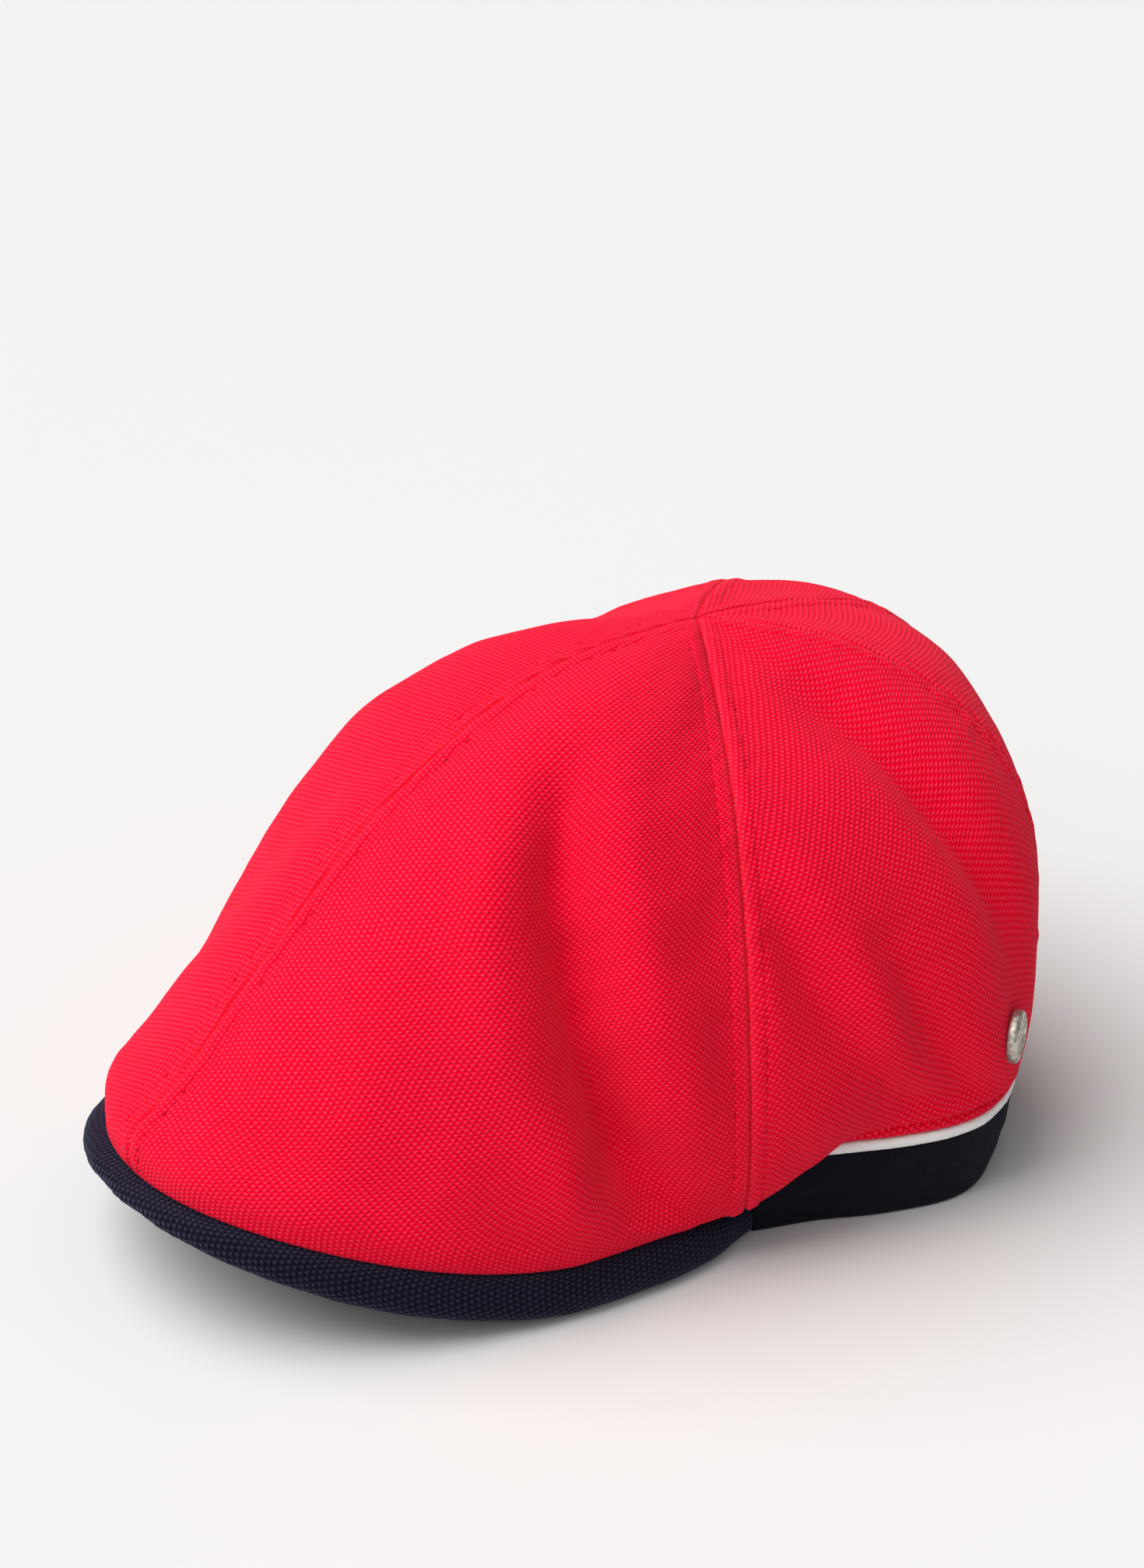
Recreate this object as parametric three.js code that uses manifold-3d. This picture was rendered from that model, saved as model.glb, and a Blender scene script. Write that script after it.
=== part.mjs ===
// Soft duckbill flat cap, lying on its bill and its head band.
// Millimetres, +Z up. The front of the cap is -Y and the wearer's left is +X.
// Plan angles start at the front centre and grow towards the wearer's left.
import * as THREE from 'three';
import { mergeVertices } from 'three/addons/utils/BufferGeometryUtils.js';
import Module from 'manifold-3d';

// Crown sizes
const crownHeight = 139.5;
const clothWall = 2;
const tipOpening = 1.3;
const sideSeamAngle = 63;
const quarterSeamAngle = 135;
const foldWidth = 14;
const foldDepth = 8;

// Bill sizes
const billFront = 177;
const billHalfWidth = 78;
const billWidestAhead = 64;
const billTailLength = 84;
const billPower = 2.05;
const billArch = 28;
const archPower = 2;
const billEdgeFront = 4;
const billEdgeSide = 11.5;
const edgePower = 2.5;
const billPlate = 3.5;
const billLip = 6;
const billTopLand = 6;
const billLeastLand = 1;
const billOpeningFront = 126;
const billHornWidth = 9;

// Band and piping sizes
const bandRadius = 90;
const bandHeight = 20.5;
const bandWall = 3.2;
const bandTuck = 8;
const pipingHeight = 3;
const pipingWall = 3;
const pipingProud = 0.8;

// Snap button sizes
const snapDiameter = 14;
const snapRise = 3.2;
const snapRim = 1.1;
const snapDish = 0.7;
const snapAngle = 113.5;
const snapDown = 0.758;
const shankDiameter = 4;
const washerDiameter = 11;
const washerThickness = 1.2;

// Clearances
const seamGap = 0.3;
const seatGap = 0.3;

// Where the bill's corners meet the ends of the band, how far the band lies inside them there,
// and where it starts to lead to them
const cornerAngle = 66;
const cornerInset = 1.24;
const followStart = 96;

// Plan of the band: angle, reach as a share of bandRadius, tuck of the foot as a share of bandTuck
const bandPlan = [
  { angle: 50, reach: 0.90, tuck: 0.1 },
  { angle: 66, reach: 0.87, tuck: 0.1 },
  { angle: 80, reach: 0.875, tuck: 0.1 },
  { angle: 92, reach: 0.945, tuck: 0.15 },
  { angle: 107, reach: 1.04, tuck: 0.25 },
  { angle: 121, reach: 1.03, tuck: 0.6 },
  { angle: 136, reach: 0.945, tuck: 0.95 },
  { angle: 150, reach: 0.855, tuck: 1 },
  { angle: 165, reach: 0.8, tuck: 1 },
  { angle: 180, reach: 0.785, tuck: 1 },
];

// Sections of the crown from the tip to the hem. Out is a share of the hem's distance
// from the tip axis, up is a share of the height from the hem to the tip.
const crownSections = [
  {
    angle: 0, crownOut: 0.29, crownUp: 0.965, shoulderOut: 0.56, shoulderUp: 0.745, flankOut: 0.77, flankUp: 0.44,
    bellyOut: 0.92, bellyUp: 0.2, foldOut: 0.995, foldUp: 0.1,
  },
  {
    angle: 32, crownOut: 0.36, crownUp: 0.968, shoulderOut: 0.64, shoulderUp: 0.8, flankOut: 0.83, flankUp: 0.53,
    bellyOut: 0.95, bellyUp: 0.25, foldOut: 1.005, foldUp: 0.1,
  },
  {
    angle: 50, crownOut: 0.39, crownUp: 0.945, shoulderOut: 0.71, shoulderUp: 0.79, flankOut: 0.93, flankUp: 0.54,
    bellyOut: 1.04, bellyUp: 0.26, foldOut: 1.05, foldUp: 0.08,
  },
  {
    angle: 63, crownOut: 0.4, crownUp: 0.925, shoulderOut: 0.755, shoulderUp: 0.785, flankOut: 1, flankUp: 0.55,
    bellyOut: 1.13, bellyUp: 0.24, foldOut: 1.1, foldUp: 0,
  },
  {
    angle: 75, crownOut: 0.41, crownUp: 0.917, shoulderOut: 0.79, shoulderUp: 0.765, flankOut: 1.035, flankUp: 0.535,
    bellyOut: 1.15, bellyUp: 0.24, foldOut: 1.1, foldUp: 0.01,
  },
  {
    angle: 84, crownOut: 0.41, crownUp: 0.915, shoulderOut: 0.785, shoulderUp: 0.755, flankOut: 1.02, flankUp: 0.52,
    bellyOut: 1.12, bellyUp: 0.25, foldOut: 1.05, foldUp: 0.06,
  },
  {
    angle: 98, crownOut: 0.39, crownUp: 0.915, shoulderOut: 0.75, shoulderUp: 0.745, flankOut: 0.955, flankUp: 0.5,
    bellyOut: 1.035, bellyUp: 0.25, foldOut: 1.02, foldUp: 0.08,
  },
  {
    angle: 135, crownOut: 0.46, crownUp: 0.965, shoulderOut: 0.82, shoulderUp: 0.82, flankOut: 1.02, flankUp: 0.6,
    bellyOut: 1.07, bellyUp: 0.3, foldOut: 1.04, foldUp: 0.08,
  },
  {
    angle: 157, crownOut: 0.52, crownUp: 0.96, shoulderOut: 0.945, shoulderUp: 0.84, flankOut: 1.11, flankUp: 0.62,
    bellyOut: 1.17, bellyUp: 0.31, foldOut: 1.08, foldUp: 0.08,
  },
  {
    angle: 180, crownOut: 0.55, crownUp: 0.96, shoulderOut: 0.95, shoulderUp: 0.85, flankOut: 1.14, flankUp: 0.62,
    bellyOut: 1.19, bellyUp: 0.31, foldOut: 1.09, foldUp: 0.08,
  },
];
const stationNames = ['crown', 'shoulder', 'flank', 'belly', 'fold'];

// Folds of the cloth, each along a line from one place on the crown to another. Down is
// the share of the way from the tip to the hem, width and depth are shares of foldWidth
// and foldDepth, and a negative depth is a ridge.
const folds = [
  { fromAngle: 23, fromDown: 0.26, toAngle: 34, toDown: 0.5, width: 0.9, depth: 0.75 },
  { fromAngle: 32, fromDown: 0.46, toAngle: 48, toDown: 0.86, width: 0.85, depth: 0.9 },
  { fromAngle: 31, fromDown: 0.3, toAngle: 57, toDown: 0.72, width: 0.8, depth: -0.35 },
  { fromAngle: 2, fromDown: 0.7, toAngle: 27, toDown: 0.84, width: 0.6, depth: 0.3 },
  { fromAngle: 106, fromDown: 0.24, toAngle: 108, toDown: 0.68, width: 0.7, depth: 0.4 },
  { fromAngle: 94, fromDown: 0.54, toAngle: 113, toDown: 0.86, width: 0.6, depth: -0.3 },
  { fromAngle: 81, fromDown: 0.6, toAngle: 101, toDown: 0.9, width: 0.6, depth: 0.4 },
  { fromAngle: -12, fromDown: 0.3, toAngle: -20, toDown: 0.64, width: 0.9, depth: 0.32 },
  { fromAngle: -43, fromDown: 0.27, toAngle: -28, toDown: 0.65, width: 1.35, depth: -0.72 },
  { fromAngle: -36, fromDown: 0.46, toAngle: -47, toDown: 0.84, width: 0.9, depth: 0.55 },
  { fromAngle: -118, fromDown: 0.06, toAngle: -132, toDown: 0.3, width: 1.8, depth: 0.45 },
  { fromAngle: -96, fromDown: 0.4, toAngle: -110, toDown: 0.86, width: 0.8, depth: 0.45 },
  { fromAngle: 158, fromDown: 0.4, toAngle: 166, toDown: 0.84, width: 0.8, depth: 0.35 },
];

// Outlines and smooth steps
const degrees = Math.PI / 180;
const quarterTurn = 90;
const fullTurn = 360;

function smoothStep(from, to, value) {
  const share = Math.min(Math.max((value - from) / (to - from), 0), 1);
  return share * share * (3 - 2 * share);
}

function mix(first, second, share) {
  return first + (second - first) * share;
}

// Point at a plan angle, a distance from the tip axis and a height
function placed(angle, out, up) {
  return new THREE.Vector3(out * Math.sin(angle * degrees), -out * Math.cos(angle * degrees), up);
}

// Smooth curve through the rows of a table. It is the same on both sides of the cap.
function tableValue(rows, column, angle) {
  const wanted = Math.abs(angle);
  const first = rows[0].angle === 0 ? [{ ...rows[1], angle: -rows[1].angle }] : [];
  const last = [{ ...rows[rows.length - 2], angle: fullTurn - rows[rows.length - 2].angle }];
  const all = [...first, ...rows, ...last];
  let index = 0;
  while (index < all.length - 2 && all[index + 1].angle <= wanted) {
    index += 1;
  }
  const slope = (from, to) => (all[to][column] - all[from][column]) / (all[to].angle - all[from].angle);
  const tangent = (at) => {
    if (at === 0) return slope(0, 1);
    if (at === all.length - 1) return slope(at - 1, at);
    const before = all[at].angle - all[at - 1].angle;
    const after = all[at + 1].angle - all[at].angle;
    return (slope(at - 1, at) * after + slope(at, at + 1) * before) / (before + after);
  };
  const step = all[index + 1].angle - all[index].angle;
  const s = (wanted - all[index].angle) / step;
  return (2 * s ** 3 - 3 * s ** 2 + 1) * all[index][column]
    + (s ** 3 - 2 * s ** 2 + s) * step * tangent(index)
    + (3 * s ** 2 - 2 * s ** 3) * all[index + 1][column]
    + (s ** 3 - s ** 2) * step * tangent(index + 1);
}

// Distance from the tip axis to a closed oval, whose widest place lies ahead of the axis.
function ovalReach(angle, halfWidth, widestAhead, frontReach, tailReach, power) {
  const side = Math.abs(Math.sin(angle * degrees));
  const ahead = Math.cos(angle * degrees);
  let near = 0;
  let far = frontReach + widestAhead + halfWidth + tailReach;
  for (let pass = 0; pass < 50; pass += 1) {
    const middle = (near + far) / 2;
    const along = middle * ahead - widestAhead;
    const length = along > 0 ? frontReach : tailReach;
    const inside = (middle * side / halfWidth) ** power + (Math.abs(along) / length) ** power < 1;
    if (inside) near = middle;
    else far = middle;
  }
  return (near + far) / 2;
}

function billReach(angle) {
  return ovalReach(angle, billHalfWidth, billWidestAhead, billFront - billWidestAhead, billTailLength, billPower);
}

// Inner edge of the bill, round the front of the head opening
function openingReach(angle) {
  const cornerReach = billReach(cornerAngle);
  const halfWidth = (cornerReach - billHornWidth) * Math.sin(cornerAngle * degrees);
  const cornerAhead = cornerReach * Math.cos(cornerAngle * degrees);
  return ovalReach(angle, halfWidth, cornerAhead, billOpeningFront - cornerAhead, billTailLength, 2);
}

// The front ends of the band follow the bill's corners.
function bandReachAt(angle) {
  const plan = (at) => bandRadius * tableValue(bandPlan, 'reach', at);
  const missed = billReach(cornerAngle) - cornerInset - plan(cornerAngle);
  return plan(angle) + missed * smoothStep(followStart, cornerAngle, Math.abs(angle));
}

// The bill is arched: its middle is raised, and it lies on the ground from its widest place back.
const widestAngle = Math.atan2(billHalfWidth, billWidestAhead) / degrees;

function archShare(angle) {
  if (Math.abs(angle) > widestAngle) return 0;
  const x = (billReach(angle) - billLip) * Math.sin(angle * degrees);
  return 1 - Math.min(Math.abs(x) / (billHalfWidth - billLip), 1) ** archPower;
}

function billEdgeThickness(angle) {
  return mix(billEdgeSide, billEdgeFront, archShare(angle) ** edgePower);
}

// Hem of the crown: on the bill in front, on the piping at the sides and the back
const hemBlendStart = 53;
const hemBlendEnd = 68;
const backHem = bandHeight + seatGap + pipingHeight + seatGap;

function hemShare(angle) {
  return smoothStep(hemBlendStart, hemBlendEnd, Math.abs(angle));
}

function hemReach(angle) {
  const onBill = billReach(angle) - billLip;
  const onPiping = bandReachAt(Math.max(Math.abs(angle), bandPlan[0].angle));
  return mix(onBill, onPiping, hemShare(angle));
}

function hemHeight(angle) {
  const onBill = billArch * archShare(angle) + billEdgeThickness(angle) + seatGap;
  return mix(onBill, backHem, hemShare(angle));
}

// A point of the crown's outer face before its folds. Down runs from 0 at the tip to 1 at the hem.
function crownBase(angle, down) {
  const reach = hemReach(angle);
  const low = hemHeight(angle);
  const rise = crownHeight - low;
  const out = [0];
  const up = [crownHeight];
  for (const name of stationNames) {
    out.push(reach * tableValue(crownSections, `${name}Out`, angle));
    up.push(low + rise * tableValue(crownSections, `${name}Up`, angle));
  }
  out.push(reach);
  up.push(low);
  const last = out.length - 1;
  out.unshift(-out[1]);
  up.unshift(up[1]);
  out.push(2 * out[last + 1] - out[last]);
  up.push(2 * up[last + 1] - up[last]);
  const place = Math.min(Math.max(down, 0), 1) * last;
  const index = Math.min(Math.floor(place), last - 1);
  const s = place - index;
  const blend = (list) => {
    const [a, b, c, d] = list.slice(index, index + 4);
    return 0.5 * (2 * b + (c - a) * s + (2 * a - 5 * b + 4 * c - d) * s ** 2 + (3 * b - a - 3 * c + d) * s ** 3);
  };
  return placed(angle, blend(out), blend(up));
}

// Outward direction of a face given as a function of angle and down
function outward(face, angle, down) {
  const turn = 0.5;
  const drop = 0.004;
  const nearTip = Math.max(down, drop * 2);
  const across = face(angle + turn, nearTip).sub(face(angle - turn, nearTip));
  const along = face(angle, Math.min(nearTip + drop, 1)).sub(face(angle, nearTip - drop));
  return along.cross(across).normalize();
}

// Each fold line is measured once, as points on the crown before its folds.
const foldSteps = 12;
const foldLines = folds.map((fold) => {
  const points = [];
  for (let step = 0; step <= foldSteps; step += 1) {
    const share = step / foldSteps;
    const down = mix(fold.fromDown, fold.toDown, share);
    points.push(crownBase(mix(fold.fromAngle, fold.toAngle, share), down));
  }
  return { ...fold, points };
});

function foldDepthAt(point) {
  let depth = 0;
  for (const fold of foldLines) {
    const width = fold.width * foldWidth;
    let nearest = Infinity;
    let share = 0;
    for (let index = 0; index < foldSteps; index += 1) {
      const along = fold.points[index + 1].clone().sub(fold.points[index]);
      const offset = point.clone().sub(fold.points[index]);
      const part = Math.min(Math.max(offset.dot(along) / along.lengthSq(), 0), 1);
      const distance = offset.addScaledVector(along, -part).length();
      if (distance < nearest) {
        nearest = distance;
        share = (index + part) / foldSteps;
      }
    }
    const fade = Math.sin(Math.PI * mix(0.12, 0.88, share));
    depth += fold.depth * foldDepth * fade * Math.exp(-((nearest / width) ** 2));
  }
  return depth;
}

function crownFace(angle, down) {
  const point = crownBase(angle, down);
  const calm = smoothStep(1, 0.93, down) * smoothStep(0, 0.12, down);
  if (calm === 0) return point;
  return point.addScaledVector(outward(crownBase, angle, down), -foldDepthAt(point) * calm);
}

// Closed bodies from grids of points
function bodyFrom(points, triangles) {
  const geometry = new THREE.BufferGeometry();
  geometry.setAttribute('position', new THREE.Float32BufferAttribute(points.flatMap((p) => [p.x, p.y, p.z]), 3));
  geometry.setIndex(triangles);
  const merged = mergeVertices(geometry, 1e-4);
  merged.computeVertexNormals();
  return merged;
}

// Body between an outer and an inner face, both given as rows of points
function wallBody(outer, inner) {
  const rows = outer.length;
  const columns = outer[0].length;
  const points = [...outer.flat(), ...inner.flat()];
  const offset = rows * columns;
  const at = (row, column, face) => face * offset + row * columns + column;
  const triangles = [];
  const quad = (a, b, c, d) => triangles.push(a, b, c, a, c, d);
  for (let row = 0; row < rows - 1; row += 1) {
    for (let column = 0; column < columns - 1; column += 1) {
      quad(at(row, column, 0), at(row + 1, column, 0), at(row + 1, column + 1, 0), at(row, column + 1, 0));
      quad(at(row, column, 1), at(row, column + 1, 1), at(row + 1, column + 1, 1), at(row + 1, column, 1));
    }
  }
  for (let row = 0; row < rows - 1; row += 1) {
    const end = columns - 1;
    quad(at(row, 0, 0), at(row, 0, 1), at(row + 1, 0, 1), at(row + 1, 0, 0));
    quad(at(row, end, 0), at(row + 1, end, 0), at(row + 1, end, 1), at(row, end, 1));
  }
  for (let column = 0; column < columns - 1; column += 1) {
    const end = rows - 1;
    quad(at(0, column, 0), at(0, column + 1, 0), at(0, column + 1, 1), at(0, column, 1));
    quad(at(end, column, 0), at(end, column, 1), at(end, column + 1, 1), at(end, column + 1, 0));
  }
  return bodyFrom(points, triangles);
}

// Body swept through closed sections that turn the same way, with flat ends
function sweptBody(sections) {
  const size = sections[0].length;
  const points = sections.flat();
  const triangles = [];
  for (let row = 0; row < sections.length - 1; row += 1) {
    for (let index = 0; index < size; index += 1) {
      const next = (index + 1) % size;
      const a = row * size + index;
      const b = row * size + next;
      triangles.push(a, b + size, b, a, a + size, b + size);
    }
  }
  const end = (sections.length - 1) * size;
  for (let index = 1; index < size - 1; index += 1) {
    triangles.push(0, index, index + 1);
    triangles.push(end, end + index + 1, end + index);
  }
  return bodyFrom(points, triangles);
}

// Crown panels, each between two seams
const panelRows = 24;

// Half the seam gap as an angle, at a seam and a share of the way down
function seamInset(seam, down) {
  const place = crownFace(seam, down);
  return Math.asin(seamGap / 2 / Math.hypot(place.x, place.y)) / degrees;
}

function panelBody(fromSeam, toSeam, columns) {
  const outer = [];
  const inner = [];
  for (let row = 0; row <= panelRows; row += 1) {
    const down = mix(tipDown, 1, row / panelRows);
    const start = fromSeam + seamInset(fromSeam, down);
    const end = toSeam - seamInset(toSeam, down);
    const outerRow = [];
    const innerRow = [];
    for (let column = 0; column <= columns; column += 1) {
      const angle = mix(start, end, column / columns);
      const point = crownFace(angle, down);
      const direction = outward(crownFace, angle, down);
      // The panel's cut edges stay parallel to the seam.
      if (column === 0 || column === columns) {
        const across = placed((column === 0 ? fromSeam : toSeam) + quarterTurn, 1, 0);
        direction.addScaledVector(across, -direction.dot(across)).normalize();
      }
      const inside = point.clone().addScaledVector(direction, -clothWall);
      inside.z = Math.max(inside.z, hemHeight(Math.atan2(inside.x, -inside.y) / degrees));
      outerRow.push(point);
      innerRow.push(inside);
    }
    outer.push(outerRow);
    inner.push(innerRow);
  }
  return wallBody(outer, inner);
}

// How far down the crown's open tip starts
function tipStart() {
  let down = 0;
  while (Math.hypot(crownBase(0, down).x, crownBase(0, down).y) < tipOpening) {
    down += 0.0005;
  }
  return down;
}
const tipDown = tipStart();

// Bill, swept round the front from one corner to the other
const billSteps = 44;
const billRollPoints = 5;

function billSection(angle) {
  const reach = billReach(angle);
  const edge = billEdgeThickness(angle);
  const floor = billArch * archShare(angle);
  const radius = edge / 2;
  const opening = Math.min(openingReach(angle), reach - billHornWidth);
  const landEnd = Math.max(reach - billLip - billTopLand, opening + billLeastLand);
  const profile = [[opening, 0], [mix(opening, reach - radius, 0.5), 0]];
  for (let point = 0; point <= billRollPoints; point += 1) {
    const turn = -Math.PI / 2 + Math.PI * point / billRollPoints;
    profile.push([reach - radius + radius * Math.cos(turn), radius + radius * Math.sin(turn)]);
  }
  profile.push([landEnd, edge]);
  const plateTop = mix(billPlate, edge, smoothStep(cornerAngle - 20, cornerAngle, Math.abs(angle)));
  profile.push([opening, plateTop]);
  return profile.map(([out, up]) => placed(angle, out, floor + up));
}

function billBody() {
  const end = cornerAngle - seatGap / 2 / billReach(cornerAngle) / degrees;
  const sections = [];
  for (let step = 0; step <= billSteps; step += 1) {
    sections.push(billSection(mix(-end, end, step / billSteps)));
  }
  return sweptBody(sections);
}

// Band and piping, swept round the sides and the back
const bandSteps = 52;

function ringBody(section) {
  const start = cornerAngle + seatGap / 2 / bandReachAt(cornerAngle) / degrees;
  const sections = [];
  for (let step = 0; step <= bandSteps; step += 1) {
    const turn = mix(start, fullTurn - start, step / bandSteps);
    const angle = turn > fullTurn / 2 ? turn - fullTurn : turn;
    sections.push(section(Math.abs(angle)).map(([out, up]) => placed(angle, out, up)));
  }
  return sweptBody(sections);
}

function bandSection(angle) {
  const top = bandReachAt(angle) - clothWall / 2;
  const foot = top - bandTuck * tableValue(bandPlan, 'tuck', angle);
  const edgeRadius = bandWall / 5;
  const lean = (up) => mix(foot, top, Math.sin(Math.PI / 2 * up / bandHeight));
  const middle = bandHeight / 2;
  return [
    [foot - bandWall, edgeRadius],
    [foot - bandWall + edgeRadius, 0],
    [foot - edgeRadius, 0],
    [foot, edgeRadius],
    [lean(middle / 2), middle / 2],
    [lean(middle), middle],
    [top, bandHeight],
    [top - bandWall, bandHeight],
    [lean(middle) - bandWall, middle],
    [lean(middle / 2) - bandWall, middle / 2],
  ];
}

function pipingSection(angle) {
  const face = bandReachAt(angle) - clothWall / 2;
  const low = bandHeight + seatGap;
  const corner = pipingHeight / 4;
  return [
    [face - pipingWall, low],
    [face, low],
    [face + pipingProud, low + corner],
    [face + pipingProud, low + pipingHeight - corner],
    [face, low + pipingHeight],
    [face - pipingWall, low + pipingHeight],
  ];
}

// Snap button: a dished cap with its shank through the cloth, and a washer behind the cloth
const snapSides = 24;
const snapRadius = snapDiameter / 2;
const shankRadius = shankDiameter / 2;
const washerStart = clothWall + 2 * seatGap;

function turned(profile) {
  const points = profile.map(([out, up]) => new THREE.Vector2(out, up));
  const geometry = new THREE.LatheGeometry(points, snapSides);
  geometry.deleteAttribute('normal');
  geometry.deleteAttribute('uv');
  const merged = mergeVertices(geometry, 1e-4);
  const index = Array.from(merged.index.array);
  const kept = [];
  for (let at = 0; at < index.length; at += 3) {
    const [a, b, c] = index.slice(at, at + 3);
    if (a !== b && b !== c && a !== c) kept.push(a, b, c);
  }
  merged.setIndex(kept);
  merged.computeVertexNormals();
  return merged;
}

function snapCapBody() {
  const shoulder = snapRise * 0.3;
  const rimInside = snapRadius - snapRim * 2;
  const shankEnd = -(washerStart + washerThickness);
  return turned([
    [0, shankEnd],
    [shankRadius, shankEnd],
    [shankRadius, seatGap],
    [snapRadius - snapRim / 2, seatGap],
    [snapRadius, seatGap + shoulder],
    [snapRadius, snapRise - shoulder],
    [snapRadius - snapRim / 2, snapRise],
    [rimInside + snapRim / 2, snapRise],
    [rimInside, snapRise - snapDish],
    [0, snapRise - snapDish],
  ]);
}

function washerBody() {
  const hole = shankRadius + seatGap;
  return turned([
    [hole, -washerStart - washerThickness],
    [washerDiameter / 2, -washerStart - washerThickness],
    [washerDiameter / 2, -washerStart],
    [hole, -washerStart],
    [hole, -washerStart - washerThickness],
  ]);
}

// Hole in a cloth wall for the shank
const wasm = await Module();
wasm.setup();

function solidOf(geometry) {
  return new wasm.Manifold(new wasm.Mesh({
    numProp: 3,
    vertProperties: new Float32Array(geometry.attributes.position.array),
    triVerts: new Uint32Array(geometry.index.array),
  }));
}

function withShankHole(geometry, place, direction) {
  const length = 6 * clothWall;
  const cutter = new THREE.CylinderGeometry(shankRadius + seatGap, shankRadius + seatGap, length, snapSides);
  cutter.deleteAttribute('normal');
  cutter.deleteAttribute('uv');
  const closed = mergeVertices(cutter, 1e-4);
  closed.applyQuaternion(direction);
  closed.translate(place.x, place.y, place.z);
  const plain = geometry.clone();
  plain.deleteAttribute('normal');
  const cut = solidOf(mergeVertices(plain, 1e-4)).subtract(solidOf(closed)).getMesh();
  const result = new THREE.BufferGeometry();
  result.setAttribute('position', new THREE.Float32BufferAttribute(cut.vertProperties, 3));
  result.setIndex(Array.from(cut.triVerts));
  result.computeVertexNormals();
  return result;
}

// Materials
function finish(color, roughness, metalness) {
  return new THREE.MeshStandardMaterial({ color, roughness, metalness });
}
const redCloth = finish(0xd81232, 0.9, 0);
const navyCloth = finish(0x1c1830, 0.95, 0);
const whiteSatin = finish(0xebe8e4, 0.55, 0);
const pewter = finish(0xb5ac98, 0.35, 0.9);
const darkMetal = finish(0x5b4a3c, 0.5, 0.9);

// Assembly
const cap = new THREE.Group();

function addPiece(name, geometry, material) {
  const mesh = new THREE.Mesh(geometry, material);
  mesh.name = name;
  cap.add(mesh);
  return mesh;
}

const frontColumns = 13;
const sideColumns = 13;
const backColumns = 9;
addPiece('front_left_panel', panelBody(0, sideSeamAngle, frontColumns), redCloth);
addPiece('front_right_panel', panelBody(-sideSeamAngle, 0, frontColumns), redCloth);
const snapPlace = crownFace(snapAngle, snapDown);
const snapNormal = outward(crownFace, snapAngle, snapDown);
const snapTurn = new THREE.Quaternion().setFromUnitVectors(new THREE.Vector3(0, 1, 0), snapNormal);
const sideLeftWall = panelBody(sideSeamAngle, quarterSeamAngle, sideColumns);
addPiece('side_left_panel', withShankHole(sideLeftWall, snapPlace, snapTurn), redCloth);
addPiece('side_right_panel', panelBody(-quarterSeamAngle, -sideSeamAngle, sideColumns), redCloth);
addPiece('back_left_panel', panelBody(quarterSeamAngle, 180, backColumns), redCloth);
addPiece('back_right_panel', panelBody(-180, -quarterSeamAngle, backColumns), redCloth);
addPiece('bill', billBody(), navyCloth);
addPiece('head_band', ringBody(bandSection), navyCloth);
addPiece('piping', ringBody(pipingSection), whiteSatin);
const snapPieces = [
  addPiece('snap_cap', snapCapBody(), pewter),
  addPiece('snap_washer', washerBody(), darkMetal),
];
for (const piece of snapPieces) {
  piece.position.copy(snapPlace);
  piece.quaternion.copy(snapTurn);
}

// The cap stands over the middle of its own outline.
const box = new THREE.Box3().setFromObject(cap);
const centre = box.getCenter(new THREE.Vector3());
cap.position.set(-centre.x, -centre.y, -box.min.z);

export default cap;
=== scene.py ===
import math

import bpy
import numpy as np
from mathutils import Matrix, Vector


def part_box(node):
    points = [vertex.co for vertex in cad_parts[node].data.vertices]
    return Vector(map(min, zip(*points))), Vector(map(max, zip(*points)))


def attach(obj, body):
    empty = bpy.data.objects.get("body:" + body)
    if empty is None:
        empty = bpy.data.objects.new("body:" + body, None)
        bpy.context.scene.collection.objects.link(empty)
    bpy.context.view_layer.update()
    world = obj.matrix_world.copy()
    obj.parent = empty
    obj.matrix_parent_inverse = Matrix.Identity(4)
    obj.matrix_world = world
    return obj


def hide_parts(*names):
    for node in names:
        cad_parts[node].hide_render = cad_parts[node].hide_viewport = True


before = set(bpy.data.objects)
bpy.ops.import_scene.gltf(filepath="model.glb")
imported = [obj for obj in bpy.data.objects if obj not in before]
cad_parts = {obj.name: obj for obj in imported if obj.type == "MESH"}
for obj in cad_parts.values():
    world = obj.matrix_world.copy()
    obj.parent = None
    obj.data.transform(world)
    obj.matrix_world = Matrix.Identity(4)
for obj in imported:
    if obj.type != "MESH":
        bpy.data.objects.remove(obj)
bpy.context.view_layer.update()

# Lengths below are in millimetres, and are turned into metres when a mesh is made.
# Plan angles start at the front centre of the cap and grow towards the wearer's left.
MM = 0.001

# Sizes of the crown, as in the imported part
CROWN_HEIGHT = 139.5
CLOTH_WALL = 2.0
TIP_OPENING = 1.3
SIDE_SEAM = 63.0
QUARTER_SEAM = 135.0
FOLD_WIDTH = 14.0
FOLD_DEPTH = 8.0

# Sizes of the bill
BILL_FRONT = 177.0
BILL_HALF_WIDTH = 78.0
BILL_WIDEST_AHEAD = 64.0
BILL_TAIL_LENGTH = 84.0
BILL_POWER = 2.05
BILL_ARCH = 28.0
ARCH_POWER = 2.0
BILL_EDGE_FRONT = 4.0
BILL_EDGE_SIDE = 11.5
EDGE_POWER = 2.5
BILL_PLATE = 3.5
BILL_LIP = 6.0
BILL_TOP_LAND = 6.0
BILL_OPENING_FRONT = 126.0
BILL_HORN_WIDTH = 9.0
CORNER_ANGLE = 66.0
CORNER_INSET = 1.24
FOLLOW_START = 96.0
WIDEST_ANGLE = math.degrees(math.atan2(BILL_HALF_WIDTH, BILL_WIDEST_AHEAD))

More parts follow.
